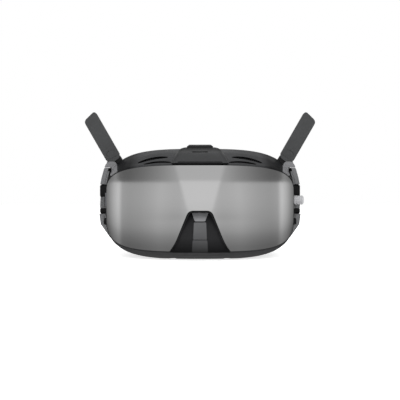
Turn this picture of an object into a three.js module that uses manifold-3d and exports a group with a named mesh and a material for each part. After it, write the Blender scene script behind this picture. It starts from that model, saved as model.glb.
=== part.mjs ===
// FPV goggles with a wrap-round visor, two folding antennas and two swinging headband arms.
// Millimetres, +Z up. The visor faces -Y, the wearer's face is at +Y, and X = 0 is the mirror plane.
// The origin is under the middle of the goggles, on the surface they stand on.

import * as THREE from "three";
import { mergeVertices } from "three/addons/utils/BufferGeometryUtils.js";
import Module from "manifold-3d";

const wasm = await Module();
wasm.setup();

// ---------------------------------------------------------------- driving dimensions

const FRONT_Y = -52; // the visor's foremost point
const REAR_Y = 52; // the foam's rearmost point
const MID_Z = 43; // height of the widest line of the housing
const GAP = 0.35; // clearance left between neighbouring pieces
const WALL = 2; // housing wall
const OUTLINE_STEPS = 44; // points round a housing section

// An outline is a superellipse in the front view, with its own height and squareness above and below.
const VISOR_EDGE = { halfWidth: 71, top: 68, bottom: 7, topPower: 4, bottomPower: 4.7 };
const VISOR_END_X = 70.6; // the visor's straight side edge
const VISOR_THICKNESS = 2;

// Housing sections from the visor (at = 0) to the face side (at = 1).
const HOUSING = [
  { at: 0, halfWidth: 72.2, top: 69.3, bottom: 5.8, topPower: 4, bottomPower: 4.7 },
  { at: 0.1, halfWidth: 72.8, top: 73, bottom: 3, topPower: 3.6, bottomPower: 4.3 },
  { at: 0.3, halfWidth: 73.4, top: 78.8, bottom: -0.5, topPower: 3.2, bottomPower: 3.8 },
  { at: 0.62, halfWidth: 73.5, top: 83.2, bottom: -0.5, topPower: 3.6, bottomPower: 3.5 },
  { at: 1, halfWidth: 72.5, top: 81.5, bottom: -0.3, topPower: 3, bottomPower: 3.5 },
];
const TOP_SEAM_Z = 60; // the top shell is above this height
const BOTTOM_SEAM_Z = 18; // the bottom shell is below this height

// The nose notch in the visor: a trapezoid that flares out at the lower edge.
const NOTCH = { top: 36, topHalf: 8.1, low: 11.7, lowHalf: 18.1, foot: 2.8, footHalf: 25 };

// Optics: one unit for each eye, sliding along X on two rails.
const EYE = { x: 32, z: 45, barrelRadius: 18, bore: 16, front: -14, rear: 16 };
const EYE_TRAVEL = 4;
const RAIL = { radius: 1.5, z: 66, ys: [-11, 2], halfLength: 57.4 };

// The knob under each eye turns a pinion, and a rack on the focus carriage follows it.
const KNOB = { y: -6, radius: 6.4, bottom: 0.7, top: 3.1, shaft: 1.4, grips: 10 };
const PINION = { teeth: 10, pitchRadius: 3, low: 21, high: 25 };
const TOOTH = { addendum: 0.5, dedendum: 0.75, halfWidth: 0.6, slope: 0.36 };

// Antennas: pivot place on the +X side, lean from the vertical, and blade size from the pivot.
const ANTENNA = { x: 67.2, y: 8, z: 73.75, lean: THREE.MathUtils.degToRad(29.9) };
const BLADE = { half: 5.9, start: 3.7, outerEnd: 40, innerEnd: 43.5, front: -2.2, back: 2.2 };
const KNUCKLE = { radius: 3.1, half: 3.4, earEnd: 5.5, pin: 0.9 };

// Headband arms: a yoke on two stub pins beside the housing, with a slot for the strap.
const PIVOT = { x: 76.6, y: 4, pin: 1.3, radius: 2.7 };
const ARM = { flare: 0.075, thickness: 3.4, windowLow: 32.6, windowHigh: 55.9 };
// The arm's outer face beside the pivot: [z, x] from its foot to its top.
const ARM_FACE = [
  [10, 68.4], [24.5, 78.5], [38, 80.2], [46, 79.8], [54, 79.2], [61, 77.8], [67.6, 76], [73, 72.9],
];
const LUGS = [
  { low: 33, high: 37 },
  { low: 46, high: 55.5 },
];
const LUG_WEB = { outerX: 75.2, low: 41, high: 46.5 }; // stiffens the upper lug
const STRAP_SLOT = { front: 38, rear: 42.6, low: 27, high: 57 };

// The five-way stick on the +X side, and the round push buttons.
const STICK = { y: -6, z: 43.5, pivotX: 66.5, radius: 3.5, inner: 70, outer: 80.1, stem: 1.2 };
const SIDE_BUTTON = { y: -8, z: 27, radius: 2.6, inner: 68.7, outer: 74.2 };
const TOP_BUTTON = { x: 40, y: 5, radius: 3, inner: 75.4, outer: 80.9 };

// Cooling: a fan under the hood, above a finned heat sink on the main board.
const FAN = { z: 59, half: 13, bore: 11.2, front: -31, rear: -22 };
const BOARD = { halfWidth: 44.6, low: 17, high: 60, front: -33.6, rear: -32 };
const SINK = { halfWidth: 44, low: 18, high: 43, front: -31.7, web: -29.9, rear: -22.6, fins: 17 };

const SCREWS = [
  [20, -27],
  [24, 6],
];

// ---------------------------------------------------------------- solids

// A geometry's triangles as a manifold-3d solid, turned outwards if they face in.
function solidOf(geometry) {
  const plain = (geometry.index ? geometry.toNonIndexed() : geometry.clone()).deleteAttribute("normal");
  plain.deleteAttribute("uv");
  const merged = mergeVertices(plain, 1e-4);
  const vertProperties = merged.attributes.position.array;
  const triVerts = new Uint32Array(merged.index.array);
  const made = new wasm.Manifold(new wasm.Mesh({ numProp: 3, vertProperties, triVerts }));
  if (made.volume() >= 0) return made;
  return new wasm.Manifold(new wasm.Mesh({ numProp: 3, vertProperties, triVerts: triVerts.reverse() }));
}

function geometryOf(solid) {
  const mesh = solid.getMesh();
  const positions = new Float32Array(mesh.numVert * 3);
  for (let i = 0; i < mesh.numVert; i++) {
    positions.set(mesh.vertProperties.subarray(i * mesh.numProp, i * mesh.numProp + 3), i * 3);
  }
  return new THREE.BufferGeometry()
    .setAttribute("position", new THREE.BufferAttribute(positions, 3))
    .setIndex(new THREE.BufferAttribute(mesh.triVerts, 1));
}

const fold = (method) => (first, ...others) =>
  geometryOf(others.reduce((solid, other) => solid[method](solidOf(other)), solidOf(first)));
const join = fold("add");
const cut = fold("subtract");
const common = fold("intersect");

// Builds a geometry from quads of points.
function fromQuads(quads) {
  const positions = quads.flatMap(([a, b, c, d]) => [a, b, c, a, c, d].flatMap((p) => [p.x, p.y, p.z]));
  const geometry = new THREE.BufferGeometry();
  geometry.setAttribute("position", new THREE.Float32BufferAttribute(positions, 3));
  return geometry;
}

// A closed skin over loops of points, where the last loop joins the first one again.
function ringLoft(loops) {
  const quads = [];
  loops.forEach((loop, i) => {
    const next = loops[(i + 1) % loops.length];
    loop.forEach((point, j) => {
      const k = (j + 1) % loop.length;
      quads.push([point, loop[k], next[k], next[j]]);
    });
  });
  return geometryOf(solidOf(fromQuads(quads)));
}

// A closed skin over loops of points, with a fan over each end.
function loft(loops) {
  const fan = (loop) => {
    const centre = loop.reduce((sum, p) => sum.add(p), new THREE.Vector3()).divideScalar(loop.length);
    return loop.map(() => centre);
  };
  const all = [fan(loops[0]), ...loops, fan(loops.at(-1))];
  const triangles = [];
  all.slice(0, -1).forEach((loop, i) => {
    loop.forEach((point, j) => {
      const k = (j + 1) % loop.length;
      const next = all[i + 1];
      if (i > 0) triangles.push(point, loop[k], next[k]);
      if (i < all.length - 2) triangles.push(point, next[k], next[j]);
    });
  });
  const geometry = new THREE.BufferGeometry().setFromPoints(triangles);
  return geometryOf(solidOf(geometry));
}

// A plate between two grids of points: outer[i][j] and inner[i][j] are its two faces.
function slab(outer, inner) {
  const rows = outer.length - 1;
  const columns = outer[0].length - 1;
  const quads = [];
  for (let i = 0; i < rows; i++) {
    for (let j = 0; j < columns; j++) {
      quads.push([outer[i][j], outer[i][j + 1], outer[i + 1][j + 1], outer[i + 1][j]]);
      quads.push([inner[i][j], inner[i + 1][j], inner[i + 1][j + 1], inner[i][j + 1]]);
    }
    quads.push([outer[i][0], outer[i + 1][0], inner[i + 1][0], inner[i][0]]);
    quads.push([outer[i + 1][columns], outer[i][columns], inner[i][columns], inner[i + 1][columns]]);
  }
  for (let j = 0; j < columns; j++) {
    quads.push([outer[0][j + 1], outer[0][j], inner[0][j], inner[0][j + 1]]);
    quads.push([outer[rows][j], outer[rows][j + 1], inner[rows][j + 1], inner[rows][j]]);
  }
  return geometryOf(solidOf(fromQuads(quads)));
}

function box(x0, x1, y0, y1, z0, z1) {
  const geometry = new THREE.BoxGeometry(x1 - x0, y1 - y0, z1 - z0);
  return geometry.translate((x0 + x1) / 2, (y0 + y1) / 2, (z0 + z1) / 2);
}

// A round bar between two points.
function bar(radius, from, to, segments = 12) {
  const a = new THREE.Vector3(...from);
  const b = new THREE.Vector3(...to);
  const turn = new THREE.Quaternion().setFromUnitVectors(
    new THREE.Vector3(0, 1, 0),
    b.clone().sub(a).normalize(),
  );
  const geometry = new THREE.CylinderGeometry(radius, radius, a.distanceTo(b), segments);
  return geometry.applyQuaternion(turn).translate(...a.add(b).divideScalar(2).toArray());
}

function polygon(points) {
  return new THREE.Shape(points.map(([x, y]) => new THREE.Vector2(x, y)));
}

// A front-view shape, drawn in X and Z, pulled from y0 to y1.
function pullY(shape, y0, y1, curveSegments = 8) {
  const geometry = new THREE.ExtrudeGeometry(shape, { depth: y1 - y0, bevelEnabled: false, curveSegments });
  return geometry.rotateX(Math.PI / 2).translate(0, y1, 0);
}

// A plan-view shape, drawn in X and Y, pulled from z0 to z1.
function pullZ(shape, z0, z1, curveSegments = 8) {
  const geometry = new THREE.ExtrudeGeometry(shape, { depth: z1 - z0, bevelEnabled: false, curveSegments });
  return geometry.translate(0, 0, z0);
}

// A side-view shape, drawn in Y and Z, pulled from x0 to x1.
function pullX(shape, x0, x1, curveSegments = 8) {
  const geometry = new THREE.ExtrudeGeometry(shape, { depth: x1 - x0, bevelEnabled: false, curveSegments });
  return geometry.rotateX(Math.PI / 2).rotateZ(Math.PI / 2).translate(x0, 0, 0);
}

// A profile of [radius, y] points turned round an axis along Y through (x, z).
function turnedAlongY(profile, x, z, segments = 24) {
  const points = profile.map(([r, y]) => new THREE.Vector2(r, y));
  return new THREE.LatheGeometry(points, segments).translate(x, 0, z);
}

function roundedRectangle(x, z, halfWidth, halfHeight, radius) {
  const shape = new THREE.Shape();
  const [left, right, low, high] = [x - halfWidth, x + halfWidth, z - halfHeight, z + halfHeight];
  shape.moveTo(left + radius, low);
  shape.lineTo(right - radius, low);
  shape.absarc(right - radius, low + radius, radius, -Math.PI / 2, 0);
  shape.absarc(right - radius, high - radius, radius, 0, Math.PI / 2);
  shape.absarc(left + radius, high - radius, radius, Math.PI / 2, Math.PI);
  shape.absarc(left + radius, low + radius, radius, Math.PI, 1.5 * Math.PI);
  return shape;
}

const circle = (x, y, radius) => new THREE.Shape().absarc(x, y, radius, 0, 2 * Math.PI);

// The same solid on the other side of X = 0.
function mirrored(geometry) {
  return geometryOf(solidOf(geometry.clone().scale(-1, 1, 1)));
}

// ---------------------------------------------------------------- the shape of the goggles

// A point of an outline at an angle, kept above a floor height.
function outlinePoint(edge, angle, floor = -Infinity) {
  const [c, s] = [Math.cos(angle), Math.sin(angle)];
  const power = s >= 0 ? edge.topPower : edge.bottomPower;
  const height = s >= 0 ? edge.top - MID_Z : MID_Z - edge.bottom;
  const reach = (Math.abs(c) ** power + Math.abs(s) ** power) ** (-1 / power);
  return { x: edge.halfWidth * reach * c, z: Math.max(floor, MID_Z + height * reach * s) };
}

function topEdge(edge, x) {
  const share = 1 - (Math.abs(x) / edge.halfWidth) ** edge.topPower;
  return MID_Z + (edge.top - MID_Z) * share ** (1 / edge.topPower);
}

function bottomEdge(edge, x) {
  const share = 1 - (Math.abs(x) / edge.halfWidth) ** edge.bottomPower;
  return MID_Z - (MID_Z - edge.bottom) * share ** (1 / edge.bottomPower);
}

const grownEdge = (edge, grow) => ({
  ...edge,
  halfWidth: edge.halfWidth + grow,
  top: edge.top + grow,
  bottom: edge.bottom - grow,
});

// The visor's outer face: an ellipse in the plan view, leaning back towards its top and bottom edges.
const WRAP = { halfWidth: 76, depth: 52, leanTop: 4.5, leanBottom: 4 };

function visorY(x, z) {
  const around = WRAP.depth * (1 - Math.sqrt(1 - (x / WRAP.halfWidth) ** 2));
  const up = THREE.MathUtils.clamp((z - MID_Z) / (VISOR_EDGE.top - MID_Z), 0, 1.1);
  const down = THREE.MathUtils.clamp((MID_Z - z) / (MID_Z - VISOR_EDGE.bottom), 0, 1.1);
  return FRONT_Y + around + WRAP.leanTop * up ** 2 + WRAP.leanBottom * down ** 2;
}

// The visor's inward direction at a point, not normalised: its Y part is 1.
function visorInward(x, z) {
  const step = 0.01;
  const slopeX = (visorY(x + step, z) - visorY(x - step, z)) / (2 * step);
  const slopeZ = (visorY(x, z + step) - visorY(x, z - step)) / (2 * step);
  return new THREE.Vector3(-slopeX, 1, -slopeZ);
}

// The point at a depth below the visor's outer face, along its normal.
function underVisor(x, z, depth) {
  const outer = new THREE.Vector3(x, visorY(x, z), z);
  return outer.addScaledVector(visorInward(x, z).normalize(), depth);
}

// A curved plate under the visor's outer face, between two depths and inside an outline.
function visorPlate(edge, endX, near, far, columns, rows) {
  const face = (depth) =>
    Array.from({ length: columns + 1 }, (_, i) => {
      const x = -endX * Math.cos((Math.PI * i) / columns);
      const [low, high] = [bottomEdge(edge, x), topEdge(edge, x)];
      return Array.from({ length: rows + 1 }, (_, j) => {
        return underVisor(x, THREE.MathUtils.lerp(low, high, j / rows), depth);
      });
    });
  return slab(face(near), face(far));
}

// The rear rim of the housing curves round the face.
const rearRimY = (x) => 12 + 8 * (x / 73.5) ** 2;

// One housing section as a loop of points, grown outwards by `grow`.
function housingLoop(section, grow) {
  const edge = grownEdge(section, grow);
  return Array.from({ length: OUTLINE_STEPS }, (_, i) => {
    const { x, z } = outlinePoint(edge, (2 * Math.PI * i) / OUTLINE_STEPS, -grow);
    const start = visorY(x, z) + (VISOR_THICKNESS + GAP) * visorInward(x, z).length();
    return new THREE.Vector3(x, THREE.MathUtils.lerp(start, rearRimY(x), section.at), z);
  });
}

// The housing as one solid block, carried on in front of the visor.
function housingBlock(grow) {
  const loops = HOUSING.map((section) => housingLoop(section, grow));
  const ahead = loops[0].map((point) => point.clone().setY(FRONT_Y - 5));
  return loft([ahead, ...loops]);
}

// The whole wall of the housing, before it is parted into shells.
const housingWall = ringLoft([
  ...HOUSING.map((section) => housingLoop(section, 0)),
  ...HOUSING.map((section) => housingLoop(section, -WALL)).reverse(),
]);
const outsideHousing = housingBlock(GAP);

// A trapezoid with a flared foot, in X and Z, grown by `grow`.
function notchShape(grow) {
  const half = [
    [NOTCH.topHalf + grow, NOTCH.top + grow],
    [NOTCH.lowHalf + grow, NOTCH.low],
    [NOTCH.footHalf + grow, NOTCH.foot],
  ];
  return polygon([...half, ...half.toReversed().map(([x, z]) => [-x, z])]);
}

// The arch that leaves room for the nose at the face side.
const NOSE_ARCH = polygon([
  [-21, -2],
  [-15, 20],
  [-8, 34],
  [8, 34],
  [15, 20],
  [21, -2],
]);

// ---------------------------------------------------------------- materials

function finish(color, roughness, metalness = 0) {
  return new THREE.MeshStandardMaterial({ color, roughness, metalness });
}

const FINISH = {
  visor: finish("#a9abad", 0.12, 0.9),
  shell: finish("#4b4c4e", 0.55),
  dark: finish("#242527", 0.6),
  light: finish("#b9babc", 0.4),
  foam: finish("#2c2c2e", 0.95),
  metal: finish("#c3c5c8", 0.35, 0.9),
  board: finish("#1e4a37", 0.6),
  glass: finish("#c9d4dc", 0.05),
  display: finish("#101114", 0.15),
};

const goggles = new THREE.Group();

function add(name, geometry, material) {
  const mesh = new THREE.Mesh(geometry, material);
  mesh.name = name;
  goggles.add(mesh);
}

// Adds a sub-part to the wearer's left (+X) and its mirror image to the right.
function addPair(name, geometry, material) {
  add(`${name}_left`, geometry, material);
  add(`${name}_right`, mirrored(geometry), material);
}

// ---------------------------------------------------------------- the visor and what is behind it

function addFront() {
  const plate = visorPlate(VISOR_EDGE, VISOR_END_X, 0, VISOR_THICKNESS, 28, 5);
  add("visor", cut(plate, pullY(notchShape(0), FRONT_Y - 5, 0)), FINISH.visor);

  const inset = grownEdge(VISOR_EDGE, -2.6);
  const depth = VISOR_THICKNESS + GAP;
  const frame = visorPlate(inset, 65, depth, depth + 1.6, 14, 1);
  const windows = [-1, 1].map((side) => pullY(roundedRectangle(side * 36, 40, 17, 17, 5), FRONT_Y, 0));
  add("visor_frame", cut(frame, pullY(notchShape(1.5), FRONT_Y - 5, 0), ...windows), FINISH.dark);
}

// A recessed cover in the visor's notch, with a raised strip down its middle.
function addNoseBridge() {
  const [front, rear] = [-46.6, -44.2];
  const cover = pullY(notchShape(-0.6), front, rear);
  const strip = pullY(roundedRectangle(0, 21.5, 5.2, 12.4, 1.5), front - 1, front + 1);
  add("nose_bridge", cut(join(cover, strip), frontRim), FINISH.shell);
}

// The space that the bottom shell's front rim takes up.
const frontRim = box(-40, 40, FRONT_Y, 0, -5, 8.2);

// ---------------------------------------------------------------- housing shells

// Two long leaf-shaped air intakes on each side of the hood, cut straight back.
function intakes() {
  const places = [
    { x: 30.8, z: 70.9, half: 10.4, turn: -0.05, width: 0.75 },
    { x: 34.9, z: 73.9, half: 11.4, turn: -0.18, width: 1.1 },
  ];
  return places.flatMap(({ x, z, half, turn, width }) => {
    const leaf = new THREE.Shape();
    leaf.moveTo(-half, -1);
    leaf.quadraticCurveTo(0, 2 * width, half, -1);
    leaf.quadraticCurveTo(0, -2 * width, -half, -1);
    const slot = pullY(leaf, -60, -24, 5).rotateY(-turn).translate(x, 0, z);
    return [slot, mirrored(slot)];
  });
}

function addTopShell() {
  const upper = common(housingWall, box(-90, 90, -60, 40, TOP_SEAM_Z + GAP / 2, 100));
  const hole = pullZ(circle(TOP_BUTTON.x, TOP_BUTTON.y, TOP_BUTTON.radius + 0.4), 60, 90);
  const [reach, wide] = [KNUCKLE.earEnd + GAP, KNUCKLE.radius + 0.5];
  const hinge = box(-reach, reach, -wide, wide, -5, wide);
  const seat = placeAntenna(join(antennaFoot(GAP), hingeWall(GAP), hinge));
  add("top_shell", cut(upper, hole, seat, mirrored(seat), ...intakes()), FINISH.shell);
}

function addBottomShell() {
  const lower = common(housingWall, box(-90, 90, -60, 40, -5, BOTTOM_SEAM_Z - GAP / 2));
  const across = KNOB.radius + 0.7;
  const slot = pullZ(roundedRectangle(EYE.x, KNOB.y, across + EYE_TRAVEL, across, across - 0.01), -5, 5);
  const bosses = [];
  const holes = [slot, mirrored(slot), pullY(NOSE_ARCH, 0, 40)];
  for (const [x, y] of SCREWS) {
    for (const side of [-1, 1]) {
      bosses.push(bar(4, [side * x, y, 1.2], [side * x, y, 7]));
      holes.push(bar(3, [side * x, y, -1], [side * x, y, 2.2]));
      holes.push(bar(1.6, [side * x, y, -1], [side * x, y, 9]));
    }
  }
  add("bottom_shell", cut(join(lower, ...bosses), ...holes), FINISH.dark);
}

// A hinge lug that the headband arm's stub pin turns in; `mouth` is the side the pin comes from.
function lug({ low, high }, mouth) {
  const shape = new THREE.Shape();
  shape.moveTo(70.8, PIVOT.y - 4);
  shape.lineTo(PIVOT.x, PIVOT.y - PIVOT.radius);
  shape.absarc(PIVOT.x, PIVOT.y, PIVOT.radius, -Math.PI / 2, Math.PI / 2);
  shape.lineTo(70.8, PIVOT.y + 4);
  const bore = [PIVOT.x, PIVOT.y, mouth];
  const end = [PIVOT.x, PIVOT.y, mouth > high ? low + 0.8 : high - 0.8];
  return cut(pullZ(shape, low, high), bar(PIVOT.pin + 0.3, bore, end));
}

const PORTS = {
  usb: { y: -9.5, z: 44, across: 2.1, along: 5 },
  card: { y: -3.4, z: 43, across: 1.5, along: 6.4 },
  jack: { y: -7.5, z: 34, radius: 2.9 },
};

const portOutline = ({ y, z, across, along }, grow) => {
  const [a, b] = [across + grow, along + grow];
  return polygon([
    [y - a, z - b],
    [y + a, z - b],
    [y + a, z + b],
    [y - a, z + b],
  ]);
};

function addSideCovers() {
  const seam = GAP / 2;
  const side = common(housingWall, box(30, 90, -60, 40, BOTTOM_SEAM_Z + seam, TOP_SEAM_Z - seam));
  const web = box(71.5, LUG_WEB.outerX, PIVOT.y - 3, PIVOT.y + 3, LUG_WEB.low, LUG_WEB.high);
  const body = join(side, lug(LUGS[0], 20), lug(LUGS[1], 70), web);
  const across = (y, z, radius, from, to) => bar(radius, [from, y, z], [to, y, z]);
  const button = across(SIDE_BUTTON.y, SIDE_BUTTON.z, SIDE_BUTTON.radius + 0.4, 60, 90);
  add("side_cover_left", cut(body, button, across(STICK.y, STICK.z, 5, 60, 90)), FINISH.dark);
  const ports = [
    pullX(portOutline(PORTS.usb, 0.35), 60, 90),
    pullX(portOutline(PORTS.card, 0.35), 60, 90),
    across(PORTS.jack.y, PORTS.jack.z, PORTS.jack.radius + 0.35, 60, 90),
  ];
  add("side_cover_right", mirrored(cut(body, button, ...ports)), FINISH.dark);
}

// The hood over the fan: a ridge that rises from the visor and dies away on the top shell.
const HOOD = [
  { y: -46.4, top: 70.3, topHalf: 17.5, foot: 66, footHalf: 21 },
  { y: -40, top: 77, topHalf: 14, foot: 71, footHalf: 20.6 },
  { y: -30, top: 82.6, topHalf: 11, foot: 76, footHalf: 19 },
  { y: -18, top: 85.3, topHalf: 9, foot: 80, footHalf: 17.6 },
  { y: -2, top: 85.2, topHalf: 9, foot: 80, footHalf: 17.6 },
  { y: 9, top: 83.4, topHalf: 9, foot: 80, footHalf: 15 },
];

function hoodLoop({ y, top, topHalf, foot, footHalf }) {
  const half = [
    [footHalf, foot],
    [(topHalf + footHalf) / 2, top - 0.22 * (top - foot)],
    [topHalf, top],
  ];
  const points = [...half, ...half.toReversed().map(([x, z]) => [-x, z])];
  return points.map(([x, z]) => new THREE.Vector3(x, y, z));
}

function addHood() {
  add("vent_hood", cut(loft(HOOD.map(hoodLoop)), outsideHousing), FINISH.shell);
}

// ---------------------------------------------------------------- the face side

function addRearFrame() {
  const edge = HOUSING.at(-1);
  const [endX, columns, rows] = [71.6, 20, 1];
  const face = (lift) =>
    Array.from({ length: columns + 1 }, (_, i) => {
      const x = -endX * Math.cos((Math.PI * i) / columns);
      const [low, high] = [Math.max(0.2, bottomEdge(edge, x)), topEdge(edge, x)];
      return Array.from({ length: rows + 1 }, (_, j) => {
        return new THREE.Vector3(x, rearRimY(x) + lift, THREE.MathUtils.lerp(low, high, j / rows));
      });
    });
  const plate = slab(face(GAP), face(GAP + 2.2));
  const apertures = [-1, 1].map((side) => {
    return pullY(roundedRectangle(side * EYE.x, EYE.z, 22.6, 18.6, 18), 0, 40);
  });
  const sensor = box(-4.4, 4.4, 0, 40, 64.6, 70.4);
  add("rear_frame", cut(plate, ...apertures, sensor, pullY(NOSE_ARCH, 0, 40)), FINISH.dark);
  add("proximity_sensor", box(-4, 4, 11, 14.2, 65, 70), FINISH.display);
}

// The soft ring against the face, open at the nose.
const FOAM = { width: 11, steps: 44, hollow: 14, frontGap: 2.2 + 2 * GAP };
const foamRearY = (x) => REAR_Y - FOAM.hollow * (1 - (Math.abs(x) / 65.5) ** 2.2);
const FOAM_LOOPS = [
  { at: 0, edge: { halfWidth: 70.5, top: 78.5, bottom: 3, topPower: 3, bottomPower: 3.5 } },
  { at: 0.5, edge: { halfWidth: 69.5, top: 77.5, bottom: 4, topPower: 3, bottomPower: 3.4 } },
  { at: 1, edge: { halfWidth: 65.5, top: 74, bottom: 8, topPower: 3, bottomPower: 3.2 } },
];

function foamLoop({ at, edge }, grow) {
  return Array.from({ length: FOAM.steps }, (_, i) => {
    const { x, z } = outlinePoint(grownEdge(edge, grow), (2 * Math.PI * i) / FOAM.steps);
    const y = THREE.MathUtils.lerp(rearRimY(x) + FOAM.frontGap, foamRearY(x), at);
    return new THREE.Vector3(x, y, z);
  });
}

function addFoam() {
  const outer = FOAM_LOOPS.map((loop) => foamLoop(loop, 0));
  const inner = FOAM_LOOPS.map((loop) => foamLoop(loop, -FOAM.width)).reverse();
  add("face_foam", cut(ringLoft([...outer, ...inner]), pullY(NOSE_ARCH, 0, 60)), FINISH.foam);
}

// ---------------------------------------------------------------- optics

const atEye = (profile) => turnedAlongY(profile, EYE.x, EYE.z);

// A tooth outline along +X of a wheel centred on the origin, or of a rack's pitch line.
function pinionShape() {
  const { teeth, pitchRadius } = PINION;
  const points = [];
  for (let i = 0; i < teeth; i++) {
    const centre = (2 * Math.PI * i) / teeth;
    for (const [radius, width] of toothProfile()) {
      const angle = centre + width / pitchRadius;
      const r = pitchRadius + radius;
      points.push([r * Math.cos(angle), r * Math.sin(angle)]);
    }
  }
  return polygon(points);
}

// Height above the pitch line and place along it, round one tooth.
function toothProfile() {
  const { addendum, dedendum, halfWidth, slope } = TOOTH;
  const root = halfWidth - 0.17 + slope * dedendum * 0.5;
  const tip = halfWidth - 0.17 - slope * addendum;
  return [
    [-dedendum, -root],
    [addendum, -tip],
    [addendum, tip],
    [-dedendum, root],
  ];
}

// The rack's teeth face -X, and a gap of the rack faces the pinion's tooth on +X.
function rack() {
  const pitch = (2 * Math.PI * PINION.pitchRadius) / PINION.teeth;
  const pitchX = EYE.x + PINION.pitchRadius;
  const points = [[pitchX + 3, KNOB.y - 5 * pitch]];
  for (let i = -4.5; i <= 4.5; i++) {
    for (const [height, along] of toothProfile()) {
      points.push([pitchX - height, KNOB.y + i * pitch + along]);
    }
  }
  points.push([pitchX + 3, KNOB.y + 5 * pitch]);
  return pullZ(polygon(points), PINION.low, PINION.high);
}

function addOptics() {
  const { barrelRadius, bore, front, rear } = EYE;
  const tube = atEye([
    [bore, front],
    [barrelRadius, front],
    [barrelRadius, rear],
    [bore, rear],
    [bore, front],
  ]);
  const ear = box(EYE.x - 7, EYE.x + 7, -14, 5, EYE.z + bore + 0.6, RAIL.z + 3.4);
  const hanger = box(EYE.x - 9, EYE.x - 4.6, KNOB.y - 6, KNOB.y + 6, 10, EYE.z - bore - 0.6);
  const shelf = box(EYE.x - 9, EYE.x + 5, KNOB.y - 6, KNOB.y + 6, 10, 14);
  const holes = RAIL.ys.map((y) => bar(RAIL.radius + 0.3, [0, y, RAIL.z], [60, y, RAIL.z]));
  const shaftHole = bar(KNOB.shaft + 0.3, [EYE.x, KNOB.y, 5], [EYE.x, KNOB.y, 20]);
  const rackWay = box(EYE.x + 2.8, EYE.x + 6.8, -13, 8, EYE.z - 20, EYE.z - 10);
  const barrel = cut(join(tube, ear, hanger, shelf), ...holes, shaftHole, rackWay);
  addPair("lens_barrel", barrel, FINISH.dark);

  const panel = box(EYE.x - 13, EYE.x + 13, front - 2.4, front - GAP, EYE.z - 11, EYE.z + 11);
  addPair("display_panel", panel, FINISH.display);

  const lens = atEye([
    [0, 9],
    [bore - 0.4, 11.4],
    [bore - 0.4, 13.4],
    [10, 14.6],
    [0, 15.2],
  ]);
  addPair("eyepiece_lens", lens, FINISH.glass);

  const ring = atEye([
    [13.4, -7],
    [bore - 0.4, -7],
    [bore - 0.4, -1],
    [13.4, -1],
    [13.4, -7],
  ]);
  const leg = box(EYE.x + 3.9, EYE.x + 6, -6.6, -1.4, PINION.high - 1, EYE.z - 13.9);
  addPair("focus_carriage", join(ring, leg, rack()), FINISH.light);
  const focusLens = atEye([
    [0, -6.6],
    [8, -6.2],
    [13, -4.8],
    [13, -3.2],
    [8, -1.8],
    [0, -1.4],
  ]);
  addPair("focus_lens", focusLens, FINISH.glass);

  const disc = new THREE.CylinderGeometry(KNOB.radius, KNOB.radius, KNOB.top - KNOB.bottom, 20);
  disc.rotateX(Math.PI / 2).translate(EYE.x, KNOB.y, (KNOB.top + KNOB.bottom) / 2);
  const grips = Array.from({ length: KNOB.grips }, (_, i) => {
    const a = (2 * Math.PI * i) / KNOB.grips;
    const [x, y] = [EYE.x + KNOB.radius * Math.cos(a), KNOB.y + KNOB.radius * Math.sin(a)];
    return bar(0.45, [x, y, 0], [x, y, 4], 6);
  });
  const shaft = bar(KNOB.shaft, [EYE.x, KNOB.y, KNOB.top - 1], [EYE.x, KNOB.y, PINION.low + 1]);
  const pinion = pullZ(pinionShape(), PINION.low, PINION.high).translate(EYE.x, KNOB.y, 0);
  addPair("diopter_knob", join(cut(disc, ...grips), shaft, pinion), FINISH.light);
}

function addRails() {
  const names = ["front", "rear"];
  RAIL.ys.forEach((y, i) => {
    const rail = bar(RAIL.radius, [-RAIL.halfLength, y, RAIL.z], [RAIL.halfLength, y, RAIL.z]);
    add(`slide_rail_${names[i]}`, rail, FINISH.metal);
  });
  const block = box(54.4, 57.2, -14.6, 5.6, RAIL.z - 4, RAIL.z + 3.2);
  const holes = RAIL.ys.map((y) => bar(RAIL.radius + 0.3, [50, y, RAIL.z], [60, y, RAIL.z]));
  addPair("rail_bracket", cut(block, ...holes), FINISH.dark);
}

// ---------------------------------------------------------------- electronics and cooling

function addElectronics() {
  const { halfWidth, low, high, front, rear } = BOARD;
  add("main_board", box(-halfWidth, halfWidth, front, rear, low, high), FINISH.board);

  const pitch = (2 * SINK.halfWidth) / (SINK.fins - 1);
  const comb = [[-SINK.halfWidth - 0.6, SINK.front]];
  for (let i = SINK.fins - 1; i >= 0; i--) {
    const x = i * pitch - SINK.halfWidth;
    comb.push([x + 0.6, i === SINK.fins - 1 ? SINK.front : SINK.web]);
    comb.push([x + 0.6, SINK.rear], [x - 0.6, SINK.rear]);
    if (i > 0) comb.push([x - 0.6, SINK.web]);
  }
  add("heat_sink", pullZ(polygon(comb), SINK.low, SINK.high), FINISH.metal);
}

function addFan() {
  const { z, half, bore, front, rear } = FAN;
  const frame = roundedRectangle(0, z, half, half, 2.5);
  frame.holes.push(new THREE.Path().absarc(0, z, bore, 0, 2 * Math.PI));
  const spokes = [0, 1, 2].map((i) => {
    const a = Math.PI / 2 + (2 * Math.PI * i) / 3;
    return bar(0.8, [0, front + 0.9, z], [12 * Math.cos(a), front + 0.9, z + 12 * Math.sin(a)], 6);
  });
  const seat = bar(4, [0, front, z], [0, front + 1.8, z]);
  add("fan_housing", join(pullY(frame, front, rear), seat, ...spokes), FINISH.dark);

  const hub = bar(4.2, [0, front + 2.3, z], [0, rear - 0.6, z], 20);
  const blades = Array.from({ length: 7 }, (_, i) => {
    const blade = box(3, bore - 0.7, -0.45, 0.45, -2.6, 2.6).rotateX(0.75).translate(0, 0, 0);
    const turned = blade.rotateY((2 * Math.PI * i) / 7);
    return turned.translate(0, (front + rear) / 2 + 0.9, z);
  });
  add("fan_impeller", join(hub, ...blades), FINISH.dark);
}

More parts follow.
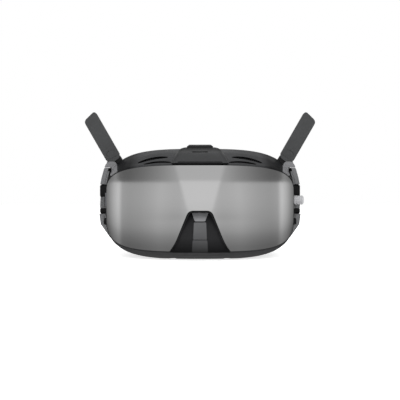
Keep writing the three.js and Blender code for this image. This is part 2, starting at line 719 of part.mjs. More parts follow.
function addPorts() {
  const wallX = 73;
  const { usb, card, jack } = PORTS;
  const usbBody = pullX(portOutline(usb, 0), 64, wallX - 0.2);
  const usbTongue = pullX(portOutline({ ...usb, across: 0.4, along: 3.6 }, 0), 65, wallX - 1);
  const usbShell = cut(usbBody, pullX(portOutline(usb, -0.6), 66, 80));
  add("usb_c_port", mirrored(join(usbShell, usbTongue)), FINISH.metal);
  const cardBody = pullX(portOutline(card, 0), 62, wallX - 0.2);
  add("memory_card_slot", mirrored(cut(cardBody, pullX(portOutline(card, -0.8), 64, 80))), FINISH.metal);
  const barrel = bar(jack.radius, [63, jack.y, jack.z], [wallX - 0.3, jack.y, jack.z]);
  const mouth = bar(1.75, [65, jack.y, jack.z], [80, jack.y, jack.z]);
  add("audio_jack", mirrored(cut(barrel, mouth)), FINISH.dark);
}

// ---------------------------------------------------------------- antennas

// Turns a piece from the blade's own frame (Z along the blade) to its place on the +X side.
const placeAntenna = (geometry) => geometryOf(
  solidOf(geometry.rotateY(ANTENNA.lean).translate(ANTENNA.x, ANTENNA.y, ANTENNA.z)),
);

function bladeShape(shrink) {
  const half = BLADE.half - shrink;
  const [low, round] = [BLADE.start + shrink, 2.6];
  const [outer, inner] = [BLADE.outerEnd - shrink, BLADE.innerEnd - shrink];
  const shape = new THREE.Shape();
  shape.moveTo(-half, low);
  shape.lineTo(half, low);
  shape.lineTo(half, outer - round);
  shape.quadraticCurveTo(half, outer, half - round, outer + 0.8);
  shape.lineTo(round - half, inner - 0.8);
  shape.quadraticCurveTo(-half, inner, -half, inner - round);
  return shape;
}

// The block under the hinge that sits in the top shell.
function antennaFoot(grow) {
  const half = KNUCKLE.earEnd + grow;
  return box(-half, half, -4.6 - grow, 7 + grow, -7.4 - grow, -KNUCKLE.radius - 0.4 + grow);
}

// The wall in front of the hinge, which hides it from the front.
function hingeWall(grow) {
  const wall = polygon([
    [-5.6 - grow, 3.1 + grow],
    [5 + grow, 3.1 + grow],
    [5.8 + grow, -2.8],
    [5.2 + grow, -8.4 - grow],
    [-4.4 - grow, -8.4 - grow],
  ]);
  return pullY(wall, -5.2 - grow, -3.45 + grow);
}

function addAntennas() {
  const knuckle = bar(KNUCKLE.radius, [-KNUCKLE.half, 0, 0], [KNUCKLE.half, 0, 0], 20);
  const neck = box(-KNUCKLE.half, KNUCKLE.half, BLADE.front, 0.9, 0, BLADE.start + 0.5);
  const pinHole = bar(KNUCKLE.pin + 0.3, [-8, 0, 0], [8, 0, 0], 12);
  const pocket = pullY(bladeShape(1.4), -0.8, 2);
  const shell = cut(join(pullY(bladeShape(0), BLADE.front, 0.9), knuckle, neck), pinHole, pocket);
  addPair("antenna_shell", placeAntenna(shell), FINISH.shell);
  addPair("antenna_cover", placeAntenna(pullY(bladeShape(0), 1.2, BLADE.back)), FINISH.shell);
  addPair("antenna_board", placeAntenna(pullY(bladeShape(1.8), -0.5, 0.4)), FINISH.board);
  addPair("antenna_pin", placeAntenna(bar(KNUCKLE.pin, [-5.2, 0, 0], [5.2, 0, 0], 12)), FINISH.metal);

  const ears = [-1, 1].map((side) => {
    const [near, far] = [side * (KNUCKLE.half + 0.35), side * KNUCKLE.earEnd];
    const round = bar(KNUCKLE.radius, [near, 0, 0], [far, 0, 0], 20);
    const [x0, x1] = [Math.min(near, far), Math.max(near, far)];
    return join(round, box(x0, x1, -KNUCKLE.radius, KNUCKLE.radius, -4.5, 0));
  });
  const base = cut(join(antennaFoot(0), hingeWall(0), ...ears), pinHole);
  addPair("antenna_base", placeAntenna(base), FINISH.light);
}

// ---------------------------------------------------------------- headband arms

// The arm's outer face leans in above and below its middle, and flares towards the rear.
function armFace(inset) {
  return ARM_FACE.map(([z, x]) =>
    [-3, 50].map((y) => new THREE.Vector3(x + ARM.flare * (y - PIVOT.y) - inset, y, z)),
  );
}

function armProfile() {
  const shape = new THREE.Shape();
  shape.moveTo(2.4, 69);
  shape.quadraticCurveTo(26, 69, 44, 60);
  shape.quadraticCurveTo(46.4, 58.8, 46.4, 56);
  shape.lineTo(46.4, 28);
  shape.quadraticCurveTo(46.4, 25, 44, 23.5);
  shape.quadraticCurveTo(26, 13, 2, 13.6);
  shape.quadraticCurveTo(0.4, 14, 0.4, 18);
  shape.lineTo(0.4, ARM.windowLow);
  shape.lineTo(10, ARM.windowLow);
  shape.quadraticCurveTo(14, ARM.windowLow, 14, 37);
  shape.lineTo(14, 51);
  shape.quadraticCurveTo(14, ARM.windowHigh, 10, ARM.windowHigh);
  shape.lineTo(0.4, ARM.windowHigh);
  shape.lineTo(0.4, 67);
  shape.quadraticCurveTo(0.4, 69, 2.4, 69);
  return shape;
}

// Pads round the pivot that fill the space between the arm and the housing.
function armPads() {
  const spans = [
    [14.6, ARM.windowLow],
    [ARM.windowHigh, 66.2],
  ];
  const inside = slab(armFace(1), armFace(12));
  return spans.map(([low, high]) => common(inside, box(60, 90, 0.8, 13, low, high)));
}

function addArms() {
  const plate = common(slab(armFace(0), armFace(ARM.thickness)), pullX(armProfile(), 50, 95, 4));
  const { x, y, pin, radius } = PIVOT;
  const knuckles = [
    bar(radius, [x, y, 22], [x, y, ARM.windowLow]),
    bar(radius, [x, y, ARM.windowHigh], [x, y, 66]),
  ].map((knuckle) => common(slab(armFace(0), armFace(12)), knuckle));
  const pins = [
    bar(pin, [x, y, 30], [x, y, LUGS[0].high - 1.2]),
    bar(pin, [x, y, LUGS[1].low + 1.2], [x, y, 58]),
  ];
  const { front, rear, low, high } = STRAP_SLOT;
  const slot = box(60, 95, front, rear, low, high);
  const arm = cut(join(plate, ...armPads(), ...knuckles), slot, housingBlock(1.3));
  addPair("headband_arm", join(arm, ...pins), FINISH.shell);
}

// ---------------------------------------------------------------- controls

function addStick() {
  const { y, z, pivotX, radius, inner, outer, stem } = STICK;
  const board = box(59.6, 61.2, y - 9, y + 9, z - 10, z + 10);
  const posts = [-1, 1].map((side) => {
    const [a, b] = [y + side * 6.6, y + side * 8.4];
    return box(60, pivotX + 1.4, Math.min(a, b), Math.max(a, b), z - 2, z + 2);
  });
  const bearing = bar(0.9, [pivotX, y - 9, z], [pivotX, y + 9, z], 12);
  add("stick_board", cut(join(board, ...posts), bearing), FINISH.board);

  const ringShape = circle(y, z, 5.4);
  ringShape.holes.push(new THREE.Path().absarc(y, z, 4, 0, 2 * Math.PI));
  const ring = pullX(ringShape, pivotX - 0.9, pivotX + 0.9, 12);
  const trunnions = [-1, 1].map((side) => {
    return bar(0.6, [pivotX, y + side * 4.8, z], [pivotX, y + side * 8, z], 10);
  });
  add("stick_gimbal", join(ring, ...trunnions), FINISH.metal);

  const post = bar(stem, [pivotX - 2.6, y, z], [outer - 3.2, y, z], 16);
  const cross = bar(0.8, [pivotX, y, z - 3.6], [pivotX, y, z + 3.6], 10);
  add("stick_stem", join(post, cross), FINISH.metal);

  const cap = new THREE.LatheGeometry(
    [
      [0, outer],
      [radius - 0.8, outer],
      [radius, outer - 0.8],
      [radius, inner],
      [stem + 0.3, inner],
      [stem + 0.3, outer - 2],
      [0, outer - 2],
    ].map(([r, x]) => new THREE.Vector2(r, x)),
    24,
  );
  add("stick_cap", geometryOf(solidOf(cap.rotateZ(-Math.PI / 2).translate(0, y, z))), FINISH.light);
}

// A round button with a flange behind the wall.
function pushButton(radius, inner, outer) {
  const points = [
    [0, inner],
    [radius + 1, inner],
    [radius + 1, inner + 0.8],
    [radius, inner + 0.8],
    [radius, outer - 0.4],
    [radius - 0.4, outer],
    [0, outer],
  ];
  return new THREE.LatheGeometry(points.map(([r, h]) => new THREE.Vector2(r, h)), 20);
}

function addButtons() {
  const { y, z, radius, inner, outer } = SIDE_BUTTON;
  const side = pushButton(radius, inner, outer).rotateZ(-Math.PI / 2).translate(0, y, z);
  add("back_button", geometryOf(solidOf(side)), FINISH.shell);
  add("link_button", mirrored(side), FINISH.shell);
  const top = pushButton(TOP_BUTTON.radius, TOP_BUTTON.inner, TOP_BUTTON.outer);
  add("record_button", top.rotateX(Math.PI / 2).translate(TOP_BUTTON.x, TOP_BUTTON.y, 0), FINISH.shell);
}

function addScrews() {
  SCREWS.forEach(([x, y], i) => {
    const head = bar(2.5, [x, y, 0.9], [x, y, 2]);
    const socket = bar(1.2, [x, y, 0], [x, y, 1.6], 6);
    const shank = bar(1.25, [x, y, 1.9], [x, y, 8.4]);
    addPair(`shell_screw_${["front", "rear"][i]}`, join(cut(head, socket), shank), FINISH.metal);
  });
}

addFront();
addNoseBridge();
addTopShell();
addBottomShell();
addSideCovers();
addHood();
addRearFrame();
addFoam();
addOptics();
addRails();
addElectronics();
addFan();
addPorts();
addAntennas();
addArms();
addStick();
addButtons();
addScrews();

export default goggles;
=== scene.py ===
"""Finish and fine surfaces of the fpv goggles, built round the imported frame."""

import math
from functools import partial
from types import SimpleNamespace as Sizes

import bmesh
import bpy
from mathutils import Matrix, Vector


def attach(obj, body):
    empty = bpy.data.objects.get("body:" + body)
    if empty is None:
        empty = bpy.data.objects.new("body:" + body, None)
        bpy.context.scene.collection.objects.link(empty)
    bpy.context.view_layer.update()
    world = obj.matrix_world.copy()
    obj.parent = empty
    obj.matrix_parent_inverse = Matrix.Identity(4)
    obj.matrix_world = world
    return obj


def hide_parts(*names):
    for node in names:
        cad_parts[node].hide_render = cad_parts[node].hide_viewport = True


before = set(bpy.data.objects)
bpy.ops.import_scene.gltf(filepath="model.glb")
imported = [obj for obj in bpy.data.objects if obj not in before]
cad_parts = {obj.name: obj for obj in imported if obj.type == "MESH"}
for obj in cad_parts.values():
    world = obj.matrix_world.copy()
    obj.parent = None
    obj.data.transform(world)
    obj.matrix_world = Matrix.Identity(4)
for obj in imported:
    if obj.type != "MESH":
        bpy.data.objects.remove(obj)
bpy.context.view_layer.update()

MM = 0.001  # the shapes below are written in millimetres
GAP = 0.35
WALL = 2.0
SIDES = {"left": 1, "right": -1}  # the wearer's left is +X

# ---- the shape of the goggles

FRONT_Y = -52.0
MID_Z = 43.0
VISOR_EDGE = {"half": 71.0, "top": 68.0, "bottom": 7.0, "top_power": 4.0, "bottom_power": 4.7}
VISOR_END_X = 70.6
VISOR_THICKNESS = 2.0
VISOR_GRID = (168, 64)  # columns and rows
WRAP = Sizes(half=76.0, depth=52.0, lean_top=4.5, lean_bottom=4.0)
FACET = Sizes(top_z=68.0, top_half=17.6, low_z=36.0, low_half=8.6, fade_x=62.0, fade_z=(28, 38))

# Housing sections: share of the depth, half width, top, bottom, upper and lower squareness.
HOUSING = [
    (0.0, 72.2, 69.3, 5.8, 4.0, 4.7),
    (0.1, 72.8, 73.0, 3.0, 3.6, 4.3),
    (0.3, 73.4, 78.8, -0.5, 3.2, 3.8),
    (0.62, 73.5, 83.2, -0.5, 3.6, 3.5),
    (1.0, 72.5, 81.5, -0.3, 3.0, 3.5),
]
TOP_SEAM_Z = 60.0
BOTTOM_SEAM_Z = 18.0
NOTCH = Sizes(top=36.0, top_half=8.1, low=11.7, low_half=18.1, foot=2.8, foot_half=25.0)
NOTCH_RADIUS = 3.4
REAR_RIM = Sizes(middle=12, sweep=8, half=73.5)
NOSE_ARCH = [(-21, -2), (-15, 20), (-8, 34), (8, 34), (15, 20), (21, -2)]


def lerp(a, b, t):
    return a + (b - a) * t


def clamp(value, low, high):
    return max(low, min(high, value))


def smooth_step(t):
    t = clamp(t, 0, 1)
    return t * t * (3 - 2 * t)


def row_at(rows, first):
    """The row for any first value, straight between the listed ones."""
    low, high = next((a, b) for a, b in zip(rows, rows[1:]) if first <= b[0] + 1e-9)
    t = (first - low[0]) / (high[0] - low[0])
    return [lerp(a, b, t) for a, b in zip(low, high)]


def smoothed(rows, passes):
    """Rows with their corners rounded off by a short running mean."""
    for _ in range(passes):
        inner = [[(a + 2 * b + c) / 4 for a, b, c in zip(*three)] for three in zip(rows, rows[1:], rows[2:])]
        rows = [rows[0], *inner, rows[-1]]
    return rows


def angles_round(steps):
    return [2 * math.pi * i / steps for i in range(steps)]


def half_turn(steps):
    return [math.pi * (i / steps - 0.5) for i in range(steps + 1)]


def around(x):
    """How far the visor's plan ellipse has swept back at x."""
    return WRAP.depth * (1 - math.sqrt(max(0.0, 1 - (x / WRAP.half) ** 2)))


def visor_y(x, z):
    up = clamp((z - MID_Z) / (VISOR_EDGE["top"] - MID_Z), 0, 1.1)
    down = clamp((MID_Z - z) / (MID_Z - VISOR_EDGE["bottom"]), 0, 1.1)
    return FRONT_Y + around(x) + WRAP.lean_top * up**2 + WRAP.lean_bottom * down**2


def facet_half(z):
    share = clamp((z - FACET.low_z) / (FACET.top_z - FACET.low_z), 0, 1.1)
    return lerp(FACET.low_half, FACET.top_half, share)


def faceted_y(x, z):
    """The visor with a flat facet down its middle, which dies away at the nose notch."""
    half = facet_half(z)
    low, high = FACET.fade_z
    share = smooth_step((z - low) / (high - low))
    if abs(x) <= half:
        return visor_y(x, z) - around(x) * share
    fade = 1 - smooth_step((abs(x) - half) / (FACET.fade_x - half))
    return visor_y(x, z) - around(half) * share * fade


def inward(x, z, surface=visor_y):
    """The direction into the goggles from a surface, one millimetre long along Y."""
    step = 0.02
    slope_x = (surface(x + step, z) - surface(x - step, z)) / (2 * step)
    slope_z = (surface(x, z + step) - surface(x, z - step)) / (2 * step)
    return Vector((-slope_x, 1, -slope_z))


def behind_visor_y(x, z):
    """Where the housing starts, a gap behind the visor."""
    return visor_y(x, z) + (VISOR_THICKNESS + GAP) * inward(x, z).length


def visor_edge_z(x, side):
    """Height of the visor's top or bottom edge at x."""
    power = VISOR_EDGE[f"{side}_power"]
    share = max(0.0, 1 - (abs(x) / VISOR_EDGE["half"]) ** power) ** (1 / power)
    return lerp(MID_Z, VISOR_EDGE[side], share)


SECTION_STEPS = 40
SECTIONS = smoothed([row_at(HOUSING, i / SECTION_STEPS) for i in range(SECTION_STEPS + 1)], 3)


def ring_point(section, angle, grow):
    """A point on a section's squared ellipse."""
    _, half, top, bottom, top_power, bottom_power = section
    c, s = math.cos(angle), math.sin(angle)
    power = top_power if s >= 0 else bottom_power
    height = (top + grow - MID_Z) if s >= 0 else (MID_Z - bottom + grow)
    reach = (abs(c) ** power + abs(s) ** power) ** (-1 / power)
    return (half + grow) * reach * c, MID_Z + height * reach * s


def outline(section, angle, grow=0.0):
    """A point on a housing section, which is flat underneath."""
    x, z = ring_point(section, angle, grow)
    return x, max(-grow, z)


def rear_rim_y(x):
    return REAR_RIM.middle + REAR_RIM.sweep * (x / REAR_RIM.half) ** 2


def housing_point(section, angle, grow=0.0):
    x, z = outline(section, angle, grow)
    return Vector((x, lerp(behind_visor_y(x, z), rear_rim_y(x), section[0]), z))


def angle_at_height(section, z, grow=0.0):
    """The angle on the +X side at which a section is at height z."""
    low, high = -math.pi / 2, math.pi / 2
    for _ in range(40):
        mid = (low + high) / 2
        if outline(section, mid, grow)[1] < z:
            low = mid
        else:
            high = mid
    return (low + high) / 2


# ---- meshes


link = bpy.context.scene.collection.objects.link


def mesh_object(name, points, faces):
    mesh = bpy.data.meshes.new(name)
    mesh.from_pydata([Vector(p) * MM for p in points], [], faces)
    piece = bpy.data.objects.new(name, mesh)
    link(piece)
    bm = bmesh.new()
    bm.from_mesh(mesh)
    bmesh.ops.remove_doubles(bm, verts=bm.verts, dist=1e-7)
    bmesh.ops.dissolve_degenerate(bm, edges=bm.edges, dist=1e-7)
    bmesh.ops.recalc_face_normals(bm, faces=bm.faces)
    bm.to_mesh(mesh)
    bm.free()
    return piece


def plate(name, outer, inner):
    """A closed plate between two grids of points."""
    rows, columns = len(outer), len(outer[0])
    points = [p for row in outer for p in row] + [p for row in inner for p in row]
    half = rows * columns

    def at(i, j, back):
        return i * columns + j + (half if back else 0)

    faces = []
    for i in range(rows - 1):
        for j in range(columns - 1):
            faces.append((at(i, j, 0), at(i, j + 1, 0), at(i + 1, j + 1, 0), at(i + 1, j, 0)))
            faces.append((at(i, j, 1), at(i + 1, j, 1), at(i + 1, j + 1, 1), at(i, j + 1, 1)))
        for j in (0, columns - 1):
            faces.append((at(i, j, 0), at(i + 1, j, 0), at(i + 1, j, 1), at(i, j, 1)))
    for j in range(columns - 1):
        for i in (0, rows - 1):
            faces.append((at(i, j, 0), at(i, j + 1, 0), at(i, j + 1, 1), at(i, j, 1)))
    return mesh_object(name, points, faces)


def loft(name, loops, closed=False):
    """A closed skin over loops of points; a closed loft joins its last loop to its first."""
    count = len(loops[0])
    points = [p for loop in loops for p in loop]
    faces = []
    spans = len(loops) if closed else len(loops) - 1
    for i in range(spans):
        k = (i + 1) % len(loops)
        for j in range(count):
            m = (j + 1) % count
            faces.append((i * count + j, i * count + m, k * count + m, k * count + j))
    if not closed:
        faces.append(tuple(range(count)))
        faces.append(tuple(range((len(loops) - 1) * count, len(loops) * count)))
    return mesh_object(name, points, faces)


def prism(name, points, low, high, axis):
    """An outline pulled along X, Y or Z from low to high."""
    order = {"x": (2, 0, 1), "y": (0, 2, 1), "z": (0, 1, 2)}[axis]
    return loft(name, [[[(u, v, w)[k] for k in order] for u, v in points] for w in (low, high)])


def through_front(points):
    """A tool with an outline in the front view, from before the visor to the middle."""
    return prism("tool", points, FRONT_Y - 6, 0, "y")


def block(low, high):
    corners = [(low[0], low[1]), (high[0], low[1]), (high[0], high[1]), (low[0], high[1])]
    return prism("block", corners, low[2], high[2], "z")


def circle(radius, steps, along=0.0):
    return [Vector((radius * math.cos(a), radius * math.sin(a), along)) for a in angles_round(steps)]


def round_bar(radius, start, end, steps=32):
    start, end = Vector(start), Vector(end)
    turn = (end - start).to_track_quat("Z", "Y")
    return loft("bar", [[middle + turn @ p for p in circle(radius, steps)] for middle in (start, end)])


def turned(name, profile, origin, axis, steps=48):
    """A profile of (radius, along) points turned about an axis; it starts and ends on the axis."""
    turn = Vector(axis).to_track_quat("Z", "Y")
    origin = Vector(origin)
    loops = [[origin + turn @ p for p in circle(max(r, 0.001), steps, along)] for r, along in profile]
    return loft(name, loops)


def rounded_outline(points, radii, steps=6):
    """A polygon with its corners rounded; radii is one number or one for each corner."""
    count = len(points)
    radii = radii if isinstance(radii, (list, tuple)) else [radii] * count
    result = []
    for i, corner in enumerate(points):
        corner = Vector(corner)
        before = Vector(points[i - 1]) - corner
        after = Vector(points[(i + 1) % count]) - corner
        reach = min(radii[i], before.length * 0.49, after.length * 0.49)
        a, b = corner + before.normalized() * reach, corner + after.normalized() * reach
        for k in range(steps + 1):
            t = k / steps
            result.append(tuple((1 - t) ** 2 * a + 2 * t * (1 - t) * corner + t**2 * b))
    return result


def ellipse(x, z, half_x, half_z, steps=40):
    return [(x + half_x * math.cos(a), z + half_z * math.sin(a)) for a in angles_round(steps)]


def stadium(x, y, half_length, radius, steps=16):
    """An outline with straight sides along the first axis and round ends."""
    reach = half_length - radius
    right = [(x + reach + radius * math.cos(a), y + radius * math.sin(a)) for a in half_turn(steps)]
    return right + [(2 * x - u, 2 * y - v) for u, v in right]


def combine(operation, piece, *tools):
    """Works each tool into a piece for good, and removes the tools."""
    for tool in tools:
        modifier = piece.modifiers.new("combine", "BOOLEAN")
        modifier.operation = operation
        modifier.solver = "EXACT"
        modifier.object = tool
    bpy.context.view_layer.update()
    depsgraph = bpy.context.evaluated_depsgraph_get()
    mesh = bpy.data.meshes.new_from_object(piece.evaluated_get(depsgraph))
    piece.modifiers.clear()
    piece.data = mesh
    for tool in tools:
        bpy.data.objects.remove(tool, do_unlink=True)
    return piece


cut, join, keep_inside = [partial(combine, way) for way in ("DIFFERENCE", "UNION", "INTERSECT")]


def flip(piece):
    """Moves a piece to the other side of X = 0, as its mirror image."""
    piece.data.transform(Matrix.Scale(-1, 4, (1, 0, 0)))
    piece.data.flip_normals()
    return piece


def mirrored(piece, name="copy"):
    copy = piece.copy()
    copy.data = piece.data.copy()
    copy.name = copy.data.name = name
    link(copy)
    return flip(copy)


def shade(piece, angle=35):
    piece.data.shade_smooth()
    piece.data.set_sharp_from_angle(angle=math.radians(angle))


def soften(piece, width, angle=35, segments=3):
    """Rounds a piece's edges and shades the rest smooth."""
    modifier = piece.modifiers.new("soften", "BEVEL")
    modifier.width = width * MM
    modifier.segments = segments
    modifier.limit_method = "ANGLE"
    modifier.angle_limit = math.radians(angle)
    modifier.miter_outer = "MITER_ARC"
    shade(piece, angle)


def set_material(piece, material):
    piece.data.materials.clear()
    piece.data.materials.append(material)


def place(piece, material, slot, body="housing", stands_for=(), bevel=0.3, angle=35):
    set_material(piece, material)
    if bevel:
        soften(piece, bevel, angle)
    else:
        shade(piece, angle)
    if stands_for:
        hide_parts(*stands_for)
    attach(piece, body)
    return piece


def place_pair(piece, material, slot, body=None, stands_for=None, **finish):
    """Places a left piece and its mirror image; body and stands_for are named without the side."""
    right = mirrored(piece, piece.name.replace("_left", "_right"))
    for side, half in (("left", piece), ("right", right)):
        nodes = [f"{stands_for}_{side}"] if stands_for else ()
        place(half, material, slot, f"{body}_{side}" if body else "housing", nodes, **finish)


# ---- materials


class Nodes:
    """A short way to write the shader nodes of a material or a world."""

    def __init__(self, owner):
        owner.use_nodes = True
        self.tree = owner.node_tree

    def feed(self, slot, value):
        """Links another node's output to an input, or sets the input itself."""
        if isinstance(value, bpy.types.NodeSocket):
            self.tree.links.new(value, slot)
        elif slot.type == "RGBA":
            slot.default_value = (*value, 1)
        else:
            slot.default_value = value

    def add(self, kind, inputs=(), **settings):
        """A new node, with its inputs in a dict by name or in a list in their order."""
        node = self.tree.nodes.new(f"ShaderNode{kind}")
        for name, value in settings.items():
            setattr(node, name, value)
        for key, value in inputs.items() if isinstance(inputs, dict) else enumerate(inputs):
            self.feed(node.inputs[key], value)
        return node

    def math(self, operation, *sources):
        return self.add("Math", sources, operation=operation).outputs[0]

    def mix(self, mode, share, a, b):
        node = self.add("Mix", data_type="RGBA", blend_type=mode)
        for slot in node.inputs:
            if slot.enabled:
                self.feed(slot, {"Factor": share, "A": a, "B": b}[slot.name])
        return next(slot for slot in node.outputs if slot.enabled)

    def ramp(self, source, stops):
        """A colour ramp; each stop is a position and a colour or a grey."""
        node = self.add("ValToRGB", [source])
        elements = node.color_ramp.elements
        while len(elements) < len(stops):
            elements.new(0.5)
        for element, (position, value) in zip(elements, stops):
            element.position = position
            element.color = (*value, 1) if isinstance(value, tuple) else (value, value, value, 1)
        return node.outputs["Color"]


class Surface(Nodes):
    """The nodes of one material."""

    def __init__(self, name):
        self.material = bpy.data.materials.new(name)
        super().__init__(self.material)
        self.shader = self.tree.nodes["Principled BSDF"]
        self.coords = self.add("TexCoord").outputs["Object"]

    def set(self, name, value):
        self.feed(self.shader.inputs[name], value)

    def noise(self, scale, detail, roughness, coords=None):
        inputs = {"Vector": coords or self.coords, "Scale": scale, "Detail": detail, "Roughness": roughness}
        return self.add("TexNoise", inputs).outputs["Fac"]

    def vary(self, name, noise, *stops):
        """Sets an input to a ramp over a noise, given by its scale, detail and roughness."""
        self.set(name, self.ramp(self.noise(*noise), stops))

    def axis(self, name):
        return self.add("SeparateXYZ", [self.coords]).outputs[name]

    def bump(self, height, strength, distance):
        node = self.add("Bump", {"Height": height, "Strength": strength, "Distance": distance})
        self.set("Normal", node.outputs["Normal"])


FADE_REACH = 100  # millimetres from the middle that a fade covers


def moulded_plastic(name, colour, roughness, grain=0.35, variation=0.12, specular=0.5, fade=None):
    """Injection-moulded plastic: a fine spark-eroded grain, faint clouding, and a little handling wear.

    A fade is an axis and (millimetres from the middle, share of the colour) along it; it paints shade or
    light into the colour by position, and scales the specular with it.
    """
    n = Surface(f"{name} plastic")
    dark, light = [tuple(c * share for c in colour) for share in (1 - variation, 1 + variation)]
    tone = n.ramp(n.noise(38, 3, 0.5), [(0.3, dark), (0.7, light)])
    # painted shade and light: the fade darkens or brightens the colour and specular by position
    if fade:
        axis, stops = fade
        away = n.math("MULTIPLY", n.math("ABSOLUTE", n.axis(axis)), 1 / (FADE_REACH * MM))
        share = n.ramp(away, [(along / FADE_REACH, value) for along, value in stops])
        tone = n.mix("MULTIPLY", 1.0, tone, share)
        specular = n.math("MULTIPLY", share, specular)
    n.set("Base Color", tone)
    n.set("Specular IOR Level", specular)
    fine = n.math("MULTIPLY", n.noise(2600, 2, 0.7), 0.6)
    broad = n.math("MULTIPLY", n.noise(900, 3, 0.6), 0.4)
    n.bump(n.math("ADD", fine, broad), grain, 0.00006)
    n.vary("Roughness", (120, 5, 0.65), (0.3, roughness - 0.05), (0.75, roughness + 0.07))
    return n.material


def mirror_coating():
    """A dark mirror coating on a clear panel, with faint wipe marks; its colour darkens towards the lower
    edge as painted shade for the darker reflection there.
    """
    n = Surface("mirror coating")
    # painted shade: the coating's colour darkens towards the lower edge, standing in for a darker reflection
    share = n.math("DIVIDE", n.axis("Z"), 70 * MM)
    tone = n.ramp(share, [(0.10, 0.37), (0.34, 0.41), (0.62, 0.42)])
    tint = n.ramp(n.noise(9, 2, 0.4), [(0.3, 0.96), (0.7, 1.0)])
    n.set("Base Color", n.mix("MULTIPLY", 1.0, tone, tint))
    n.set("Metallic", 1.0)
    n.vary("Roughness", (60, 5, 0.7), (0.35, 0.115), (0.75, 0.14))
    n.set("Coat Weight", 0.15)
    n.set("Coat Roughness", 0.04)
    n.bump(n.noise(240, 2, 0.5), 0.05, 0.00002)
    return n.material


def knitted_fabric():
    """Fine knit over foam: interlocked ribs with a soft nap."""
    n = Surface("knitted fabric")
    ribs = {"Vector": n.coords, "Scale": 420, "Distortion": 1.2, "Detail Scale": 3}
    rows = n.add("TexWave", ribs, bands_direction="Z").outputs["Fac"]
    ribs = {"Vector": n.coords, "Scale": 520, "Distortion": 1.5}
    columns = n.add("TexWave", ribs, bands_direction="DIAGONAL").outputs["Fac"]
    knit = n.math("MULTIPLY", rows, columns)
    nap = n.math("MULTIPLY", n.noise(3200, 3, 0.7), 0.5)
    n.set("Base Color", n.ramp(knit, [(0.1, (0.012, 0.012, 0.013)), (0.8, (0.05, 0.05, 0.053))]))
    n.set("Roughness", 0.95)
    n.set("Sheen Weight", 0.35)
    n.set("Sheen Roughness", 0.5)
    n.bump(n.math("ADD", knit, nap), 0.7, 0.0002)
    return n.material


def brushed_metal(name, colour, roughness=0.32):
    """Metal brushed along X."""
    n = Surface(name)
    stretched = n.add("Mapping", {"Vector": n.coords, "Scale": (1, 9, 9)})
    lines = n.noise(700, 3, 0.7, stretched.outputs[0])
    n.set("Base Color", n.ramp(lines, [(0.3, tuple(c * 0.86 for c in colour)), (0.7, colour)]))
    n.set("Metallic", 1.0)
    n.set("Roughness", n.ramp(lines, [(0.3, roughness - 0.06), (0.7, roughness + 0.08)]))
    n.bump(lines, 0.2, 0.00003)
    return n.material


def circuit_board_mask():
    """Green solder mask over rows of copper tracks."""
    n = Surface("solder mask")
    tracks = n.add("TexBrick", {
        "Vector": n.coords, "Scale": 260, "Mortar Size": 0.03,
        "Color1": (0.012, 0.075, 0.036), "Color2": (0.016, 0.1, 0.05), "Mortar": (0.05, 0.16, 0.07),
    })
    n.set("Base Color", tracks.outputs["Color"])
    n.set("Roughness", 0.38)
    n.bump(tracks.outputs["Fac"], 0.3, 0.00004)
    return n.material


def lens_glass():
    """Coated glass with a dark violet bloom."""
    n = Surface("coated lens")
    facing = n.add("LayerWeight", {"Blend": 0.35}).outputs["Facing"]
    n.set("Base Color", n.ramp(facing, [(0.0, (0.012, 0.012, 0.02)), (1.0, (0.09, 0.06, 0.16))]))
    n.vary("Roughness", (90, 3, 0.6), (0.3, 0.03), (0.8, 0.07))
    n.set("Coat Weight", 1.0)
    n.set("Coat Roughness", 0.02)
    n.set("IOR", 1.6)
    return n.material


def screen_glass():
    """Polished black glass."""
    n = Surface("screen glass")
    n.vary("Base Color", (50, 2, 0.5), (0.3, (0.008, 0.008, 0.009)), (0.7, (0.012, 0.012, 0.0135)))
    n.vary("Roughness", (150, 4, 0.7), (0.3, 0.1), (0.8, 0.2))
    n.set("Coat Weight", 0.5)
    return n.material


# Painted shade: the shell's colour and specular darken to 0.3 beyond 45 mm from the middle, towards both
# ends.
SHELL_PAINTED_SHADE = ("X", [(45, 1), (52, 0.3)])
SHELL = moulded_plastic("shell", (0.019, 0.0195, 0.021), 0.46, specular=0.38, fade=SHELL_PAINTED_SHADE)
# Painted shade: the hood's colour and specular are halved above 80.5 mm, on its top.
HOOD_PAINTED_SHADE = ("Z", [(78.5, 1), (80.5, 0.5)])
HOOD = moulded_plastic("hood", (0.016, 0.0165, 0.0175), 0.44, specular=0.42, fade=HOOD_PAINTED_SHADE)
BLACK = moulded_plastic("frame", (0.010, 0.010, 0.011), 0.5, specular=0.4)
SIDE_BLACK = moulded_plastic("side cover", (0.003, 0.003, 0.0035), 0.55, specular=0.15)
DEEP_BLACK = moulded_plastic("inner", (0.005, 0.005, 0.006), 0.6, specular=0.3)
GLOSS_BLACK = moulded_plastic("vent", (0.003, 0.003, 0.004), 0.4, grain=0.15, specular=0.14)
BAND = moulded_plastic("lower shell", (0.013, 0.013, 0.0145), 0.5, specular=0.4)
# Painted shade: the nose cover's colour darkens below 16 mm, to 0.35 at its bottom.
NOSE_PAINTED_SHADE = ("Z", [(7, 0.35), (16, 1)])
NOSE_BLACK = moulded_plastic("nose cover", (0.007, 0.007, 0.008), 0.5, specular=0.25, fade=NOSE_PAINTED_SHADE)
